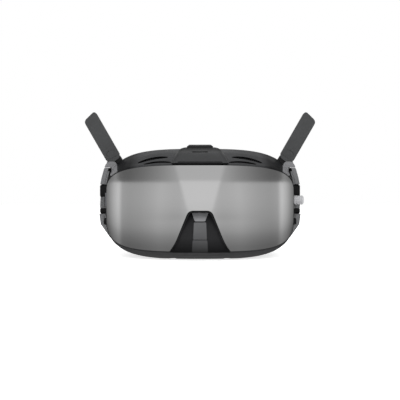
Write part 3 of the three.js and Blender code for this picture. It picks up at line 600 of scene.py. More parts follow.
# Painted shade and light: the strip and plug darken below 28 mm, and the funnel above 28.4 mm is brightened
# against the visor's shadow.
STRIP_PAINTED_SHADE_AND_LIGHT = ("Z", [(7, 0.16), (11, 0.35), (15, 0.55), (28, 1), (28.4, 2.1)])
STRIP = moulded_plastic("nose strip", (0.082, 0.083, 0.086), 0.45, specular=0.4, fade=STRIP_PAINTED_SHADE_AND_LIGHT)
ANTENNA = moulded_plastic("antenna", (0.024, 0.025, 0.026), 0.46)
HINGE_BLACK = moulded_plastic("hinge", (0.003, 0.003, 0.0035), 0.5, specular=0.2)
# Painted highlight: this light grey stands in for a highlight on the shell's shoulder by each hinge.
CHEEK_PAINTED_HIGHLIGHT = moulded_plastic("hinge cheek painted highlight", (0.12, 0.12, 0.125), 0.4)
ARM_GREY = moulded_plastic("arm", (0.10, 0.101, 0.105), 0.44)
LIGHT = moulded_plastic("control", (0.33, 0.33, 0.34), 0.35, grain=0.15, variation=0.03)
MIRROR = mirror_coating()
FABRIC = knitted_fabric()
STEEL = brushed_metal("satin steel", (0.56, 0.57, 0.58))
DARK_STEEL = brushed_metal("dark steel", (0.14, 0.14, 0.15))
ALUMINIUM = brushed_metal("satin aluminium", (0.66, 0.67, 0.68), 0.38)
BOARD = circuit_board_mask()
LENS = lens_glass()
SCREEN = screen_glass()

# ---- visor and nose bridge


def visor_point(x, z, depth):
    outer = Vector((x, faceted_y(x, z), z))
    return outer + inward(x, z, faceted_y).normalized() * depth


def visor_grid(depth):
    """Points of the visor at a depth behind its face, closer together towards both ends."""
    columns, rows = VISOR_GRID
    grid = []
    for i in range(columns + 1):
        x = -VISOR_END_X * math.cos(math.pi * i / columns)
        low, high = visor_edge_z(x, "bottom"), visor_edge_z(x, "top")
        grid.append([visor_point(x, lerp(low, high, j / rows), depth) for j in range(rows + 1)])
    return grid


def notch_outline(grow, radius):
    """The nose notch in the front view; radius rounds its two upper corners."""
    right = [
        (NOTCH.top_half + grow, NOTCH.top + grow),
        (NOTCH.low_half + grow, NOTCH.low),
        (NOTCH.foot_half + grow, NOTCH.foot),
    ]
    points = right + [(-x, z) for x, z in reversed(right)]
    return rounded_outline(points, [radius, 5, 0.1, 0.1, 5, radius])


def make_visor():
    visor = plate("visor_panel", visor_grid(0), visor_grid(VISOR_THICKNESS))
    cut(visor, through_front(notch_outline(0, NOTCH_RADIUS)))
    place(visor, MIRROR, "visor_mirror", stands_for=["visor"], bevel=0.45, angle=50)


# The dark ring's edges inside the housing's face, its reach behind the visor, its room round the controls.
SHADE_RING = Sizes(outer=-2.1, inner=-2.9, tuck=1.0, clearance=1.4)


def make_visor_shade_ring():
    """A dark ring that closes the gap between the visor's edge and the housing, from inside; its black is
    painted shade for the shadow in that gap.
    """
    loops = []
    for angle in angles_round(240):
        rim_y = housing_point(SECTIONS[0], angle).y
        edges = [outline(SECTIONS[0], angle, grow) for grow in (SHADE_RING.outer, SHADE_RING.inner)]
        front = [(x, behind_visor_y(x, z), z) for x, z in edges]
        rear = [(x, max(y, rim_y) + SHADE_RING.tuck, z) for x, y, z in front]
        loops.append([front[0], *rear, front[1]])
    shade_ring = loft("visor_shade_ring", loops, closed=True)
    tools = [through_front(notch_outline(0.5, NOTCH_RADIUS))]
    tools += [side_hole(part, SHADE_RING.clearance) for part in (STICK, SIDE_BUTTON)]
    cut(shade_ring, *tools)
    # painted shade: the ring's black stands in for the shadow in the gap round the visor
    place(shade_ring, DEEP_BLACK, "frame_black", bevel=0)


NOSE = Sizes(
    front=-47.3, forward_z=17, roll=0.0165, flat_half=5, side_roll=0.05,
    half_x=25, low=6.2, high=36.4, thickness=1.6, foot=(-45.6, 8.2),
)
NOSE_RIM = Sizes(y=(-49.2, -39.5), outer=-0.35, inner=-1.15, foot=8.4)
# Raised parts of the cover: half width and Z of the lower end, the same of the upper end, and the lift.
NOSE_PARTS = {
    "nose_strip": (4.9, 15.4, 4.4, 27.6, 1.0),
    "nose_plug": (5.7, 6.4, 5.2, 15, 0.8),
    "nose_funnel": (3.7, 28.3, 6.0, 34.4, 0.6),
}


def nose_y(x, z, lift):
    """The cover's face rolls back towards its top, and a little towards both sides."""
    back = NOSE.roll * max(0, z - NOSE.forward_z) ** 2
    return NOSE.front + back + NOSE.side_roll * max(0, abs(x) - NOSE.flat_half) - lift


def nose_plate(name, near, far):
    """A plate that follows the cover's face between two heights above it."""
    across = [lerp(-NOSE.half_x, NOSE.half_x, i / 50) for i in range(51)]
    up = [lerp(NOSE.low, NOSE.high, j / 30) for j in range(31)]
    return plate(name, *[[[(x, nose_y(x, z, lift), z) for z in up] for x in across] for lift in (near, far)])


def make_nose_bridge():
    """A recessed cover in the notch with a rim round it, and a strip, a plug and a funnel on it."""
    cover = nose_plate("nose_cover", 0, -NOSE.thickness)
    keep_inside(cover, through_front(notch_outline(-0.7, 3.0)))
    foot_y, foot_z = NOSE.foot
    cut(cover, block((-40, foot_y, -5), (40, 0, foot_z)))
    place(cover, NOSE_BLACK, "shell_grey", stands_for=["nose_bridge"], bevel=0.3)

    rim = prism("nose_rim", notch_outline(NOSE_RIM.outer, 3.2), *NOSE_RIM.y, "y")
    hollow = through_front(notch_outline(NOSE_RIM.inner, 2.6))
    cut(rim, hollow, block((-40, -60, -5), (40, 0, NOSE_RIM.foot)))
    place(rim, NOSE_BLACK, "frame_black", bevel=0.25)

    # painted shade and light: these parts darken towards the bottom and the funnel is brightened, through the
    # strip's colour
    for name, (low_half, low, high_half, high, lift) in NOSE_PARTS.items():
        corners = [(-low_half, low), (low_half, low), (high_half, high), (-high_half, high)]
        part = nose_plate(name, lift, 0.02)
        keep_inside(part, through_front(rounded_outline(corners, 0.8)))
        place(part, STRIP, "shell_grey", bevel=0.25)


# ---- housing shells

SHELL_GRID = 120
UPPER_LAYER_Z = 62


def shell_plate(name, start_of, end_of, steps=SHELL_GRID, near=0, far=-WALL):
    """A plate over part of the housing; start_of and end_of give its angles at a section and a growth."""

    def grid(grow):
        rows = []
        for section in SECTIONS:
            low, high = start_of(section, grow), end_of(section, grow)
            rows.append([housing_point(section, lerp(low, high, j / steps), grow) for j in range(steps + 1)])
        return rows

    return plate(name, grid(near), grid(far))


def housing_solid(grow):
    """The outside of the housing as one solid, carried on in front of the visor."""
    angles = angles_round(160)
    loops = [[housing_point(section, angle, grow) for angle in angles] for section in SECTIONS]
    ahead = [Vector((point.x, FRONT_Y - 5, point.z)) for point in loops[0]]
    return loft("housing tool", [ahead, *loops])


def at_height(z, turn=0.0):
    """The angle of height z on the +X side, for any section and growth."""
    return lambda section, grow: turn + angle_at_height(section, z, grow)


def past_top(z):
    """The angle of height z on the other side."""
    return lambda section, grow: math.pi - angle_at_height(section, z, grow)


def upper_layer(name, near, far):
    """A plate over the upper half of the housing, between two distances from its face."""
    return shell_plate(name, at_height(UPPER_LAYER_Z), past_top(UPPER_LAYER_Z), 80, near, far)


HINGE = Sizes(x=67.2, y=8.0, z=73.75, end=5.5, radius=3.1, half=3.4)
ANTENNA_LEAN = math.radians(29.9)
HINGE_WALL = [(-5.6, 3.1), (5, 3.1), (5.8, -2.8), (5.2, -8.4), (-4.4, -8.4)]
HINGE_WALL_MIDDLE = Vector((0, -2.8))
HINGE_WALL_Y = (-5.2, -3.45)
HINGE_FOOT = ((-4.6, -7.4), (7.0, -3.5))  # Y and Z of its lower and upper corner
HINGE_FRONT = HINGE.y + HINGE_WALL_Y[0]
TOP_BUTTON = Sizes(x=40, y=5, radius=3.0)
KNOB = Sizes(x=32, y=-6, radius=6.4, travel=4)
SCREWS = [(20, -27), (24, 6)]
# Radius, low and high of a screw's boss, its counterbore and its bore.
SCREW_SEAT = [(4, 1.2, 7), (3, -1, 2.2), (1.6, -1, 9)]
INTAKES = [
    Sizes(x=30.8, z=70.9, half=10.4, turn=-0.05, width=0.75),
    Sizes(x=34.9, z=73.9, half=11.4, turn=-0.18, width=1.1),
]


def antenna_place(piece):
    """Moves a piece from the blade's own frame, Z along the blade, to the +X side."""
    move = Matrix.Translation(Vector((HINGE.x, HINGE.y, HINGE.z)) * MM)
    piece.data.transform(move @ Matrix.Rotation(ANTENNA_LEAN, 4, "Y"))
    return piece


def antenna_seat(grow):
    """The room that the antenna's hinge base takes, grown all round."""
    end, wide = HINGE.end + grow, HINGE.radius + 0.15 + grow
    (front, low), (rear, high) = HINGE_FOOT
    foot = block((-end, front - grow, low - grow), (end, rear + grow, high + grow))
    well = block((-end, -wide, -5), (end, wide, wide))
    points = [HINGE_WALL_MIDDLE + (Vector(p) - HINGE_WALL_MIDDLE) * (1 + grow / 5) for p in HINGE_WALL]
    wall = prism("wall tool", points, HINGE_WALL_Y[0] - grow, HINGE_WALL_Y[1] + grow, "y")
    return antenna_place(join(foot, well, wall))


def almond(x, z, half, turn, width):
    """A long leaf outline in the front view, pointed at both ends and sagging a little towards them."""
    steps, sag = 24, 0.009
    angles = [math.pi * i / steps for i in range(steps + 1)]
    edge = [(half * math.cos(a), width * math.sin(a) ** 0.8) for a in angles]
    points = [(u, v - sag * u * u) for u, v in edge + [(u, -v) for u, v in reversed(edge[1:-1])]]
    c, s = math.cos(turn), math.sin(turn)
    return [(x + u * c - v * s, z + u * s + v * c) for u, v in points]


INTAKE_REACH = (-60, -24)  # the intakes are cut straight back, between these Y


def make_top_shell():
    seam = TOP_SEAM_Z + GAP / 2
    shell = shell_plate("top_skin", at_height(seam), past_top(seam))
    seat = antenna_seat(GAP)
    radius = TOP_BUTTON.radius + 0.4
    button = ellipse(TOP_BUTTON.x, TOP_BUTTON.y, radius, radius)
    tools = [seat, mirrored(seat), prism("button tool", button, 60, 95, "z")]
    for intake in INTAKES:
        tool = prism("intake tool", almond(**vars(intake)), *INTAKE_REACH, "y")
        tools += [tool, mirrored(tool)]
    cut(shell, *tools)
    place(shell, SHELL, "shell_grey", stands_for=["top_shell"], bevel=0.35, angle=45)


def make_bottom_shell():
    """The lower shell, with four screw bosses, slots for the two knobs and an arch for the nose."""
    seam = BOTTOM_SEAM_Z - GAP / 2
    shell = shell_plate("bottom_skin", past_top(seam), at_height(seam, 2 * math.pi))
    bosses, tools = [], []
    for side in (-1, 1):
        for x, y in SCREWS:
            boss, *bores = [round_bar(radius, (side * x, y, low), (side * x, y, high))
                            for radius, low, high in SCREW_SEAT]
            bosses.append(boss)
            tools += bores
        radius = KNOB.radius + 0.7
        slot = stadium(side * KNOB.x, KNOB.y, radius + KNOB.travel, radius)
        tools.append(prism("knob slot", slot, -5, 5, "z"))
    tools.append(prism("nose arch", NOSE_ARCH, 0, 40, "y"))
    join(shell, *bosses)
    cut(shell, *tools)
    place(shell, BAND, "frame_black", stands_for=["bottom_shell"], bevel=0.35, angle=45)


PIVOT = Sizes(x=76.6, y=4.0, pin=1.3, radius=2.7)
LUGS = [(33, 37), (46, 55.5)]
LUG_ROOT = Sizes(x=70.8, half=4)
LUG_WEB = ((71.5, 1, 41), (75.2, 7, 46.5))
STICK = Sizes(y=-6.0, z=43.5, inner=70.0, outer=80.1, radius=3.5, hole=5, stem=1.2)
SIDE_BUTTON = Sizes(y=-8.0, z=27.0, hole=3.0)
# Sockets on the right side: Y, Z, half width and half height.
PORTS = [(-9.5, 44, 2.1, 5), (-3.4, 43, 1.5, 6.4)]
JACK = Sizes(y=-7.5, z=34, hole=2.9)


def lug(low, high):
    """A lug round the pivot, with softly rounded ends."""
    insets = [(low, 0.8), (low + 0.3, 0.35), (low + 0.9, 0), (high - 0.9, 0), (high - 0.3, 0.35), (high, 0.8)]
    x, y = PIVOT.x, PIVOT.y
    loops = []
    for z, inset in insets:
        radius, root = PIVOT.radius - inset, LUG_ROOT.half - inset
        arc = [(x + radius * math.cos(a), y + radius * math.sin(a), z) for a in half_turn(20)]
        loops.append([(LUG_ROOT.x, y - root, z), *arc, (LUG_ROOT.x, y + root, z)])
    return loft("lug", loops)


def pivot_bar(radius, low, high):
    return round_bar(radius, (PIVOT.x, PIVOT.y, low), (PIVOT.x, PIVOT.y, high))


def side_hole(part, grow=0.0):
    """A bar across the goggles, for the hole round a control or a socket in their side."""
    start, end = [(x, part.y, part.z) for x in (-90, 90)]
    return round_bar(part.hole + grow, start, end, 40)


def make_side_cover(name, side):
    """A side cover with its lugs; the left one has the stick's hole, the right one the sockets."""
    low, high = BOTTOM_SEAM_Z + GAP / 2, TOP_SEAM_Z - GAP / 2
    cover = shell_plate(f"side_skin_{name}", at_height(low), at_height(high), 60)
    join(cover, *[lug(*span) for span in LUGS], block(*LUG_WEB))
    (_, lower_top), (upper_low, _) = LUGS
    tools = [
        pivot_bar(PIVOT.pin + 0.3, 30, lower_top - 0.8),
        pivot_bar(PIVOT.pin + 0.3, upper_low + 0.8, 60),
        side_hole(SIDE_BUTTON),
    ]
    if side > 0:
        tools.append(side_hole(STICK))
    else:
        tools.append(side_hole(JACK, GAP))
        for y, z, across, along in PORTS:
            a, b = across + GAP, along + GAP
            corners = [(y - a, z - b), (y + a, z - b), (y + a, z + b), (y - a, z + b)]
            tools.append(prism("port tool", rounded_outline(corners, 1.0), 60, 90, "x"))
    cut(cover, *tools)
    if side < 0:
        flip(cover)
    place(cover, SIDE_BLACK, "frame_black", stands_for=[f"side_cover_{name}"], bevel=0.35, angle=45)


# ---- hood

# Rows along Y: y, crest height, crest half width, foot height, foot half width.
HOOD_ROWS = [
    (-46.4, 70.3, 17.5, 69.7, 20.6),
    (-43.2, 74.0, 15.8, 70.2, 20.6),
    (-40, 77, 14.4, 71, 20.6),
    (-30, 82.4, 11.6, 76, 19),
    (-18, 83.3, 11.4, 80, 17.6),
    (-2, 83.2, 11.4, 80, 17.6),
    (9, 82.0, 11, 79.6, 15),
]
VENT_ROWS = [
    (-28.2, 83.6, 8.4, 80, 10.6),
    (-24, 84.9, 8.2, 80, 10.6),
    (-18, 85.3, 8.2, 80, 10.6),
    (-2, 85.2, 8.2, 80, 10.6),
    (6, 83.4, 8.2, 80, 10.6),
]


def eased_rows(rows, steps):
    """Rows sampled evenly along the first value, with the corners between them rounded off."""
    low, high = rows[0][0], rows[-1][0]
    return smoothed([row_at(rows, lerp(low, high, i / steps)) for i in range(steps + 1)], 6)


def hood_loop(y, top, top_half, foot, foot_half):
    """The hood's cross section at y: a shoulder bulges a little above the straight line to the foot."""
    shoulder = ((top_half + foot_half) / 2, top - 0.22 * (top - foot))
    right = [(foot_half, foot), shoulder, (top_half, top)]
    corners = right + [(-x, z) for x, z in reversed(right)]
    return [(x, y, z) for x, z in rounded_outline(corners, [0.2, 4, 4, 4, 4, 0.2], 8)]


# Narrow bars across the hood: where they lie, half length, radius and both ends, then the axis.
LIP = (-29.6, 9.6, 0.45, 81.0, 83.3, "z")
LIP_GROOVE = (-30.7, 9.4, 0.4, 81.2, 90, "z")
FRONT_SLOT = (78.3, 5.8, 0.42, -60, -35.2, "y")
# The front bar is a thin black strip of painted shade under the hood's front edge.
FRONT_SHADE_BAR = (70.1, 15.8, 0.7, -46.95, -46.3, "y")
LOUVRES = [(y, 6.2, 0.5, 84.2, 90, "z") for y in range(-21, 0, 4)]


def hood_bar(middle, half_length, radius, low, high, axis, name="bar"):
    return prism(name, stadium(0, middle, half_length, radius), low, high, axis)


def make_hood():
    """The hood over the fan, with the black vent that stands up behind its lip."""
    hood = loft("hood_skin", [hood_loop(*row) for row in eased_rows(HOOD_ROWS, 60)])
    join(hood, hood_bar(*LIP))
    cut(hood, hood_bar(*LIP_GROOVE), hood_bar(*FRONT_SLOT))
    place(hood, HOOD, "shell_grey", stands_for=["vent_hood"], bevel=0.3, angle=40)

    vent = loft("hood_vent", [hood_loop(*row) for row in eased_rows(VENT_ROWS, 40)])
    cut(vent, *[hood_bar(*louvre) for louvre in LOUVRES])
    place(vent, GLOSS_BLACK, "frame_black", bevel=0.3, angle=40)

    # painted shade: a thin black bar stands in for the shadow line between the hood and the visor
    shade_bar = hood_bar(*FRONT_SHADE_BAR, name="hood_shade_bar")
    place(shade_bar, DEEP_BLACK, "frame_black", bevel=0.1)


RIBS = Sizes(across=14, half=0.22, spread=0.96, drops=(1.7, 3.4), rise=2.4)
SCREEN_WINDOW = ((19, -42, 69), (47, -20, 80))


def make_intake_ribs():
    """Short upright ribs in the air intakes, and a dust screen behind them."""
    comb = []
    for intake, drop in zip(INTAKES, RIBS.drops):
        low, high = intake.z - drop, intake.z + RIBS.rise
        reach = intake.half * RIBS.spread
        for i in range(1, RIBS.across):
            x = intake.x + lerp(-reach, reach, i / RIBS.across)
            left, right = x - RIBS.half, x + RIBS.half
            rib = block((left, INTAKE_REACH[0], low), (right, INTAKE_REACH[1], high))
            comb += [rib, mirrored(rib)]
    ribs = keep_inside(upper_layer("intake_ribs", -0.9, -2.0), join(comb[0], *comb[1:]))
    window = block(*SCREEN_WINDOW)
    screen = keep_inside(upper_layer("intake_screen", -2.05, -2.5), join(mirrored(window), window))
    for piece in (ribs, screen):
        place(piece, DEEP_BLACK, "frame_black", bevel=0)


# ---- face foam

FOAM_EDGES = [
    (0.0, 70.5, 78.5, 3.0, 3.0, 3.5),
    (0.5, 69.5, 77.5, 4.0, 3.0, 3.4),
    (1.0, 65.5, 74.0, 8.0, 3.0, 3.2),
]
FOAM = Sizes(width=11.0, inset=0.5, crown=0.7, roll=3.4, roll_share=0.9, start=2.9)
FOAM_REAR = Sizes(y=52.0, dip=14, half=65.5, power=2.2)
FOAM_SEAM = Sizes(share=0.42, depth=0.9, width=0.022)
FOAM_RINGS = 22
ROLL_RINGS = 12


def foam_rear_y(x):
    """The foam's rear edge dips forward in the middle, to fit a face."""
    return FOAM_REAR.y - FOAM_REAR.dip * (1 - (abs(x) / FOAM_REAR.half) ** FOAM_REAR.power)


def foam_section(share):
    low, high = (FOAM_EDGES[0], FOAM_EDGES[1]) if share < 0.5 else (FOAM_EDGES[1], FOAM_EDGES[2])
    t = (share - low[0]) / 0.5
    return [lerp(a, b, smooth_step(t) * 0.4 + t * 0.6) for a, b in zip(low, high)]


def foam_ring(share, grow, lift=0.0):
    """One ring of the foam at a share of its depth."""
    section = foam_section(share)
    points = []
    for angle in angles_round(160):
        x, z = ring_point(section, angle, grow)
        points.append((x, lerp(rear_rim_y(x) + FOAM.start, foam_rear_y(x), share) + lift, z))
    return points


def make_foam():
    """A soft ring: crowned walls, a rolled rim against the face, and a sewn seam round each side."""
    outside, inside = [], []
    for i in range(FOAM_RINGS + 1):
        share = FOAM.roll_share * i / FOAM_RINGS
        crown = FOAM.crown * math.sin(math.pi * share)
        seam = -FOAM_SEAM.depth * math.exp(-(((share - FOAM_SEAM.share) / FOAM_SEAM.width) ** 2))
        outside.append(foam_ring(share, crown + seam - FOAM.inset))
        inside.append(foam_ring(share, -crown - FOAM.inset - FOAM.width))
    rim = []
    for i in range(1, ROLL_RINGS):
        a = math.pi * i / ROLL_RINGS
        grow = -FOAM.inset - FOAM.width * (1 - math.cos(a)) / 2
        rim.append(foam_ring(FOAM.roll_share, grow, FOAM.roll * math.sin(a)))
    foam = loft("face_cushion", [*outside, *rim, *reversed(inside)], closed=True)
    cut(foam, prism("nose tool", rounded_outline(NOSE_ARCH, [1, 8, 6, 6, 8, 1]), 0, 60, "y"))
    place(foam, FABRIC, "foam_fabric", stands_for=["face_foam"], bevel=0.9, angle=55)


# ---- antennas

BLADE = [(-5.9, 3.7), (5.9, 3.7), (5.9, 40.7), (-5.9, 43.7)]
BLADE_RADII = [1.6, 1.6, 3.2, 3.0]
BLADE_FRONT_Y = (-2.2, 0.9)
BLADE_BACK_Y = (1.2, 2.2)
RIDGE = Sizes(z=24, half_x=2.2, half_z=13, groove=0.4)
POCKET = (0, 8.2, 3.7, 2.3)


def make_antennas():
    """Each blade's shell with its hinge knuckle, and its back cover with a long oval ridge."""
    half, radius = HINGE.half, HINGE.radius
    near, far = BLADE_FRONT_Y
    blade = rounded_outline(BLADE, BLADE_RADII)
    front = prism("antenna_blade_left", blade, near, far, "y")
    knuckle = round_bar(radius, (-half, 0, 0), (half, 0, 0), 40)
    join(front, knuckle, block((-half, near, 0), (half, far, 5)))
    pocket = prism("pocket", ellipse(*POCKET), -4, -1.8, "y")
    cut(front, round_bar(1.2, (-8, 0, 0), (8, 0, 0)), pocket)

    back = prism("antenna_back_left", blade, *BLADE_BACK_Y, "y")
    ridge = ellipse(0, RIDGE.z, RIDGE.half_x, RIDGE.half_z)
    groove = ellipse(0, RIDGE.z, RIDGE.half_x + RIDGE.groove, RIDGE.half_z + RIDGE.groove)
    cut(back, prism("groove", groove, 1.95, 3, "y"))
    join(back, prism("ridge", ridge, 1.8, 2.2, "y"))
    place_pair(antenna_place(front), ANTENNA, "shell_grey", "antenna", "antenna_shell", bevel=0.55, angle=40)
    place_pair(antenna_place(back), ANTENNA, "shell_grey", "antenna", "antenna_cover", bevel=0.3, angle=40)


# The fairing in front of each hinge, in the front view; its light grey is a painted highlight.
CHEEK_OUTLINE = [(61.2, 63.8), (62.8, 67.4), (65.0, 70.8), (67.2, 73.8), (71.8, 73.8), (74, 72.2),
                 (75.2, 69.3), (71.0, 69.2), (70.9, 66.4), (69.6, 62.6), (65, 61.2)]
CHEEK_RADII = [2, 3, 3, 1.2, 1.2, 1.5, 0.3, 0.3, 2, 2, 2]
CHEEK_PLAN = [(61, -27), (80, -27), (80, 5), (61, 5)]
CHEEK_FRONT = 0.6
ARM_ROOM = ((69.7, -1.2, 55), (80, 5, 69.3))  # left free for the arm's front edge when it swings


def make_hinge_cheeks():
    """A fairing that lies on the shell's shoulder and stands up in front of the hinge; its light grey is a
    painted highlight.
    """
    outline_points = rounded_outline(CHEEK_OUTLINE, CHEEK_RADII)
    rear = HINGE_FRONT - 0.3
    cheek = upper_layer("hinge_cheek_left", 0.7, -0.3)
    keep_inside(cheek, prism("plan", rounded_outline(CHEEK_PLAN, 6), 55, 80, "z"))
    keep_inside(cheek, prism("outline", outline_points, -30, rear, "y"))
    join(cheek, cut(prism("guard", outline_points, CHEEK_FRONT, rear, "y"), housing_solid(0)))
    cut(cheek, block(*ARM_ROOM))
    # painted highlight: the cheek's light grey stands in for a highlight on the shoulder
    place_pair(cheek, CHEEK_PAINTED_HIGHLIGHT, "light_grey", bevel=0.5, angle=30)


# The foot of each antenna as seen from the front, in the blade's own frame.
BLADE_FOOT = [(-5.8, 3.2), (-5.8, 1.9), (-3.6, 0.7), (0, 0.3), (3, 1.0), (5.8, 2.6), (5.8, 3.2)]


def make_hinge_covers():
    """A thin cover on the hinge wall that carries on the blade's outline."""
    front = HINGE_WALL_Y[0]
    cover = prism("hinge_cover_left", rounded_outline(BLADE_FOOT, 0.7), front - 0.7, front - 0.1, "y")
    place_pair(antenna_place(cover), ANTENNA, "shell_grey")


# ---- headband arms

ARM = Sizes(flare=0.075, thickness=3.4, window_low=32.6, window_high=55.9)
# The arm's outer face beside the pivot: z and x from its foot to its top.
ARM_FACE = [(10, 68.4), (24.5, 78.5), (38, 80.2), (46, 79.8), (54, 79.2), (61, 77.8), (67.6, 76), (73, 72.9)]
ARM_CLEARANCE = 1.3  # between the arm and the housing
PAD_SEAM = (4.8, 5.05)  # the arm and its inner pad meet at these depths


def arm_x(y, z):
    """The arm's outer face leans in above and below its middle, and flares towards the rear."""
    return row_at(ARM_FACE, z)[1] + ARM.flare * (y - PIVOT.y)


def arm_grid(inset):
    heights = sorted({lerp(10, 73, i / 42) for i in range(43)} | {float(z) for z, _ in ARM_FACE})
    return [[(arm_x(y, z) - inset, y, z) for y in (-3, 6, 15, 25, 36, 50)] for z in heights]


def arm_layer(name, near, far):
    """A plate between two depths behind the arm's outer face."""
    return plate(name, arm_grid(near), arm_grid(far))


# The arm seen from the side, with the window round the pivot.
ARM_PROFILE = [
    (0.4, 69), (26, 69.5), (46.4, 59.5), (46.4, 24.5), (26, 13.2), (0.4, 13.6),
    (0.4, ARM.window_low), (14, ARM.window_low), (14, ARM.window_high), (0.4, ARM.window_high),
]
ARM_RADII = [0.5, 22, 3, 3, 22, 2.4, 0.6, 4, 4, 0.6]
STRAP_SLOT = [(38, 27), (42.6, 27), (42.6, 57), (38, 57)]
GRIP_GROOVES = Sizes(x=80.9, y=(20, 34), z=(38, 40.5, 43), height=0.6)
PAD_BLOCKS = [(14.6, ARM.window_low), (ARM.window_high, 66.2)]  # Z of each pad's two ends
PAD_Y = (0.8, 13)
PAD_DEPTH = 12
PAD_CROWN = ((60, 4, 66.25), (90, 12, 68.7))
PAD_PINS = [(30, 35.8), (47.2, 58)]


def arm_pads(name, near, far):
    """The blocks above and below the pivot, between two depths behind the arm's outer face."""
    front, rear = PAD_Y
    lower, upper = [block((60, front, low), (90, rear, high)) for low, high in PAD_BLOCKS]
    return keep_inside(arm_layer(name, near, far), join(lower, upper))


def make_arms():
    """The grey arms, and the black pads on their inner side that hold the pivot pins."""
    arm = arm_layer("arm_skin_left", 0, ARM.thickness)
    keep_inside(arm, prism("profile", rounded_outline(ARM_PROFILE, ARM_RADII, 12), 50, 95, "x"))
    join(arm, arm_pads("arm pads", 1, PAD_SEAM[0]))
    slot = prism("slot", rounded_outline(STRAP_SLOT, 1.2), 60, 95, "x")
    x, (front, rear), height = GRIP_GROOVES.x, GRIP_GROOVES.y, GRIP_GROOVES.height
    grooves = [block((x, front, z), (95, rear, z + height)) for z in GRIP_GROOVES.z]
    cut(arm, slot, housing_solid(ARM_CLEARANCE), *grooves)

    pads = arm_pads("arm_pads_left", PAD_SEAM[1], PAD_DEPTH)
    crown = arm_layer("crown", ARM.thickness + 0.1, PAD_DEPTH)
    join(pads, keep_inside(crown, block(*PAD_CROWN)))
    cut(pads, housing_solid(ARM_CLEARANCE), antenna_seat(0.6))
    join(pads, *[pivot_bar(PIVOT.pin, low, high) for low, high in PAD_PINS])
    place_pair(pads, SIDE_BLACK, "frame_black", "arm", angle=40)
    place_pair(arm, ARM_GREY, "shell_grey", "arm", "headband_arm", bevel=0.5, angle=40)


# ---- controls

RIDGES = Sizes(count=5, first=2.4, pitch=1.3, depth=0.25)


def make_stick_cap():
    """A short ribbed cap with a dished end."""
    radius, inner, outer = STICK.radius, STICK.inner, STICK.outer
    bore, valley = STICK.stem + 0.3, radius - RIDGES.depth
    profile = [(bore, outer - 2), (bore, inner), (radius, inner)]
    for i in range(RIDGES.count):
        start = inner + RIDGES.first + i * RIDGES.pitch
        profile += [(radius, start), (valley, start + 0.2), (valley, start + 0.5), (radius, start + 0.7)]
    profile += [(radius, outer - 0.7), (radius - 0.7, outer), (radius - 1.2, outer), (0, outer - 0.5)]
    cap = turned("stick_knob", profile, (0, STICK.y, STICK.z), (1, 0, 0))
    place(cap, LIGHT, "light_grey", "stick_top", ["stick_cap"], bevel=0.12, angle=30)


# ---- eyepieces

EYE = Sizes(x=32, z=45)
# Eyepiece lens: its edge radius, then each face's Y in the middle and how far it bends by the edge.
LENS_SHAPE = Sizes(edge=15.6, front=(9, 2.4), rear=(15.2, -1.8))


def make_eyepieces():
    """Smooth, gently domed lenses."""
    edge, steps = LENS_SHAPE.edge, 16
    radii = [edge * i / steps for i in range(steps + 1)]

    def face(middle, bend):
        return [(radius, middle + bend * (radius / edge) ** 2) for radius in radii]

    profile = face(*LENS_SHAPE.front) + face(*LENS_SHAPE.rear)[::-1]
    for name, side in SIDES.items():
        lens = turned(f"eyepiece_{name}", profile, (side * EYE.x, 0, EYE.z), (0, 1, 0), 72)
        place(lens, LENS, "lens_glass", f"eye_{name}", [f"eyepiece_lens_{name}"], bevel=0)


# ---- carried-over CAD nodes


def both(*names):
    return [f"{name}_{side}" for name in names for side in SIDES]


NODE_LOOKS = {
    BLACK: ["rear_frame", "visor_frame", "fan_housing", *both("lens_barrel", "rail_bracket")],
    DEEP_BLACK: ["fan_impeller", "audio_jack"],
    HINGE_BLACK: both("antenna_base"),
    SHELL: ["back_button", "link_button", "record_button"],
    LIGHT: both("diopter_knob", "focus_carriage"),
    STEEL: ["slide_rail_front", "slide_rail_rear", "stick_gimbal", "stick_stem",
            *both("antenna_pin", "shell_screw_front", "shell_screw_rear")],
    DARK_STEEL: ["usb_c_port", "memory_card_slot"],
    ALUMINIUM: ["heat_sink"],
    BOARD: ["main_board", "stick_board", *both("antenna_board")],
    LENS: both("focus_lens"),
    SCREEN: ["proximity_sensor", *both("display_panel")],
}
FINE_BEVEL = 0.12
NODE_BEVELS = {
    0.5: ["rear_frame", *both("antenna_base")],
    0.3: ["record_button", "back_button", "link_button"],
    0.25: both("diopter_knob"),
}


def dress_nodes():
    bevels = {name: width for width, names in NODE_BEVELS.items() for name in names}
    for material, names in NODE_LOOKS.items():
        for name in names:
            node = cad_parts[name]
            set_material(node, material)
            soften(node, bevels.get(name, FINE_BEVEL), segments=2)


# ---- floor, light and camera


def make_floor():
    size = 4000
    corners = [(-size, -size, 0), (size, -size, 0), (size, size, 0), (-size, size, 0)]
    floor = mesh_object("floor", corners, [(0, 1, 2, 3)])
    n = Surface("pale floor")
    n.vary("Base Color", (3, 2, 0.5), (0.3, 0.88), (0.7, 0.9))
    n.set("Roughness", 0.8)
    n.set("Specular IOR Level", 0.1)
    n.set("Emission Color", (1, 1, 1))
    n.set("Emission Strength", 0.7)
    set_material(floor, n.material)
    floor.visible_glossy = False


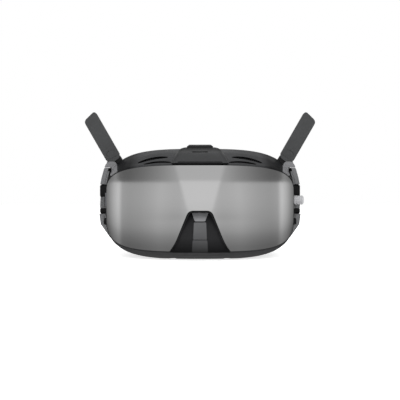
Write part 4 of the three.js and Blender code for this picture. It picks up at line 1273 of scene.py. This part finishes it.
# Studio brightness by the slope of a surface that mirrors it straight ahead: sideways slope first,
# then the brightness, for directions level with the visor and for those above the light panels.
LEVEL_BAND = [(0.015, 1.27), (0.15, 0.94), (0.2, 0.94), (0.253, 0.97), (0.326, 1.01),
              (0.428, 0.88), (0.549, 0.78), (0.706, 0.73), (0.79, 0.75), (0.889, 0.79), (0.95, 1.11),
              (1.02, 1.25), (1.1, 1.1), (1.207, 0.98), (1.338, 0.8), (1.513, 0.62), (1.627, 0.52),
              (2.1, 0.3)]
UPPER_BAND = [(0.02, 0.97), (0.18, 0.77), (0.262, 0.64), (0.346, 0.53), (0.455, 0.42),
              (0.58, 0.32), (0.739, 0.25), (0.867, 0.24), (0.981, 0.28), (1.138, 0.52), (1.395, 0.37),
              (1.591, 0.34), (4, 0.6)]
# The upward slope at which the panels end, along the same sideways slopes.
PANEL_TOP = [(0.03, 0.218), (0.18, 0.167), (0.26, 0.167), (0.34, 0.173), (0.44, 0.184),
             (0.56, 0.196), (0.72, 0.21), (0.85, 0.219), (0.96, 0.228), (1.3, 0.24)]
PANEL_EDGE = 0.006  # half the width of the panels' soft edge
# Share of the level brightness that is left at each downward slope.
FALL = [(-0.25, 0.38), (-0.228, 0.46), (-0.207, 0.52), (-0.186, 0.6), (-0.165, 0.72), (-0.12, 0.85),
        (-0.09, 0.91), (-0.05, 0.96), (0, 1)]
SKY = [(-1, 0.35), (0, 0.6), (1, 1.0)]  # soft room light by height


def make_world():
    world = bpy.data.worlds.new("studio")
    bpy.context.scene.world = world
    n = Nodes(world)
    n.tree.nodes.clear()
    direction = n.add("TexCoord").outputs["Generated"]
    x, y, z = n.add("SeparateXYZ", [direction]).outputs
    depth = n.math("SUBTRACT", 1.0, y)
    aside = n.math("DIVIDE", n.math("ABSOLUTE", x), depth)
    upward = n.math("DIVIDE", z, depth)

    # A sideways slope p from 0 to infinity sits at p / (1 + p) on the ramps.
    share = n.math("DIVIDE", aside, n.math("ADD", aside, 1.0))
    bands = [[(p / (1 + p), value) for p, value in band] for band in (LEVEL_BAND, UPPER_BAND, PANEL_TOP)]
    level, upper, top = [n.ramp(share, band) for band in bands]
    lowest = FALL[0][0]
    rise = n.math("DIVIDE", n.math("SUBTRACT", upward, lowest), -lowest)
    fall = n.ramp(rise, [(1 - q / lowest, value) for q, value in FALL])
    over = n.math("SUBTRACT", upward, top)
    edge = n.add("MapRange", [over, -PANEL_EDGE, PANEL_EDGE]).outputs[0]
    studio = n.mix("MIX", edge, n.mix("MULTIPLY", 1.0, level, fall), upper)
    height = n.math("MULTIPLY_ADD", z, 0.5, 0.5)
    sky = n.ramp(height, [(up / 2 + 0.5, value) for up, value in SKY])

    path = n.add("LightPath").outputs
    paper, room, mirrored_studio = [
        n.add("Background", [colour, 1.0]).outputs[0] for colour in ((1, 1, 1), sky, studio)
    ]
    lit = n.add("MixShader", [path["Is Glossy Ray"], room, mirrored_studio]).outputs[0]
    seen = n.add("MixShader", [path["Is Camera Ray"], lit, paper]).outputs[0]
    n.add("OutputWorld", [seen])


def area_light(name, place_mm, aim_mm, size_mm, power):
    light = bpy.data.lights.new(name, "AREA")
    light.shape = "RECTANGLE"
    light.size, light.size_y = (v * MM for v in size_mm)
    light.energy = power
    holder = bpy.data.objects.new(name, light)
    holder.location = Vector(place_mm) * MM
    holder.rotation_euler = (Vector(aim_mm) - Vector(place_mm)).to_track_quat("-Z", "Y").to_euler()
    holder.visible_camera = False
    holder.visible_glossy = False
    link(holder)


def make_camera():
    data = bpy.data.cameras.new("camera")
    data.lens = 54
    data.sensor_width = 36
    data.clip_start = 0.01
    camera = bpy.data.objects.new("camera", data)
    camera.location = Vector((0, -472, 43.5)) * MM
    camera.rotation_euler = (math.pi / 2, 0, 0)
    link(camera)
    bpy.context.scene.camera = camera


make_camera()
bpy.context.scene.view_settings.view_transform = "Standard"
make_world()
make_floor()
area_light("overhead", (0, -150, 900), (0, 0, 60), (900, 700), 5.0)
area_light("floor wash", (0, -900, 700), (0, -60, 0), (1400, 500), 6.0)

make_visor()
make_visor_shade_ring()
make_nose_bridge()
make_top_shell()
make_bottom_shell()
for side_name, side_sign in SIDES.items():
    make_side_cover(side_name, side_sign)
make_hood()
make_intake_ribs()
make_foam()
make_antennas()
make_hinge_cheeks()
make_hinge_covers()
make_arms()
make_stick_cap()
make_eyepieces()
dress_nodes()
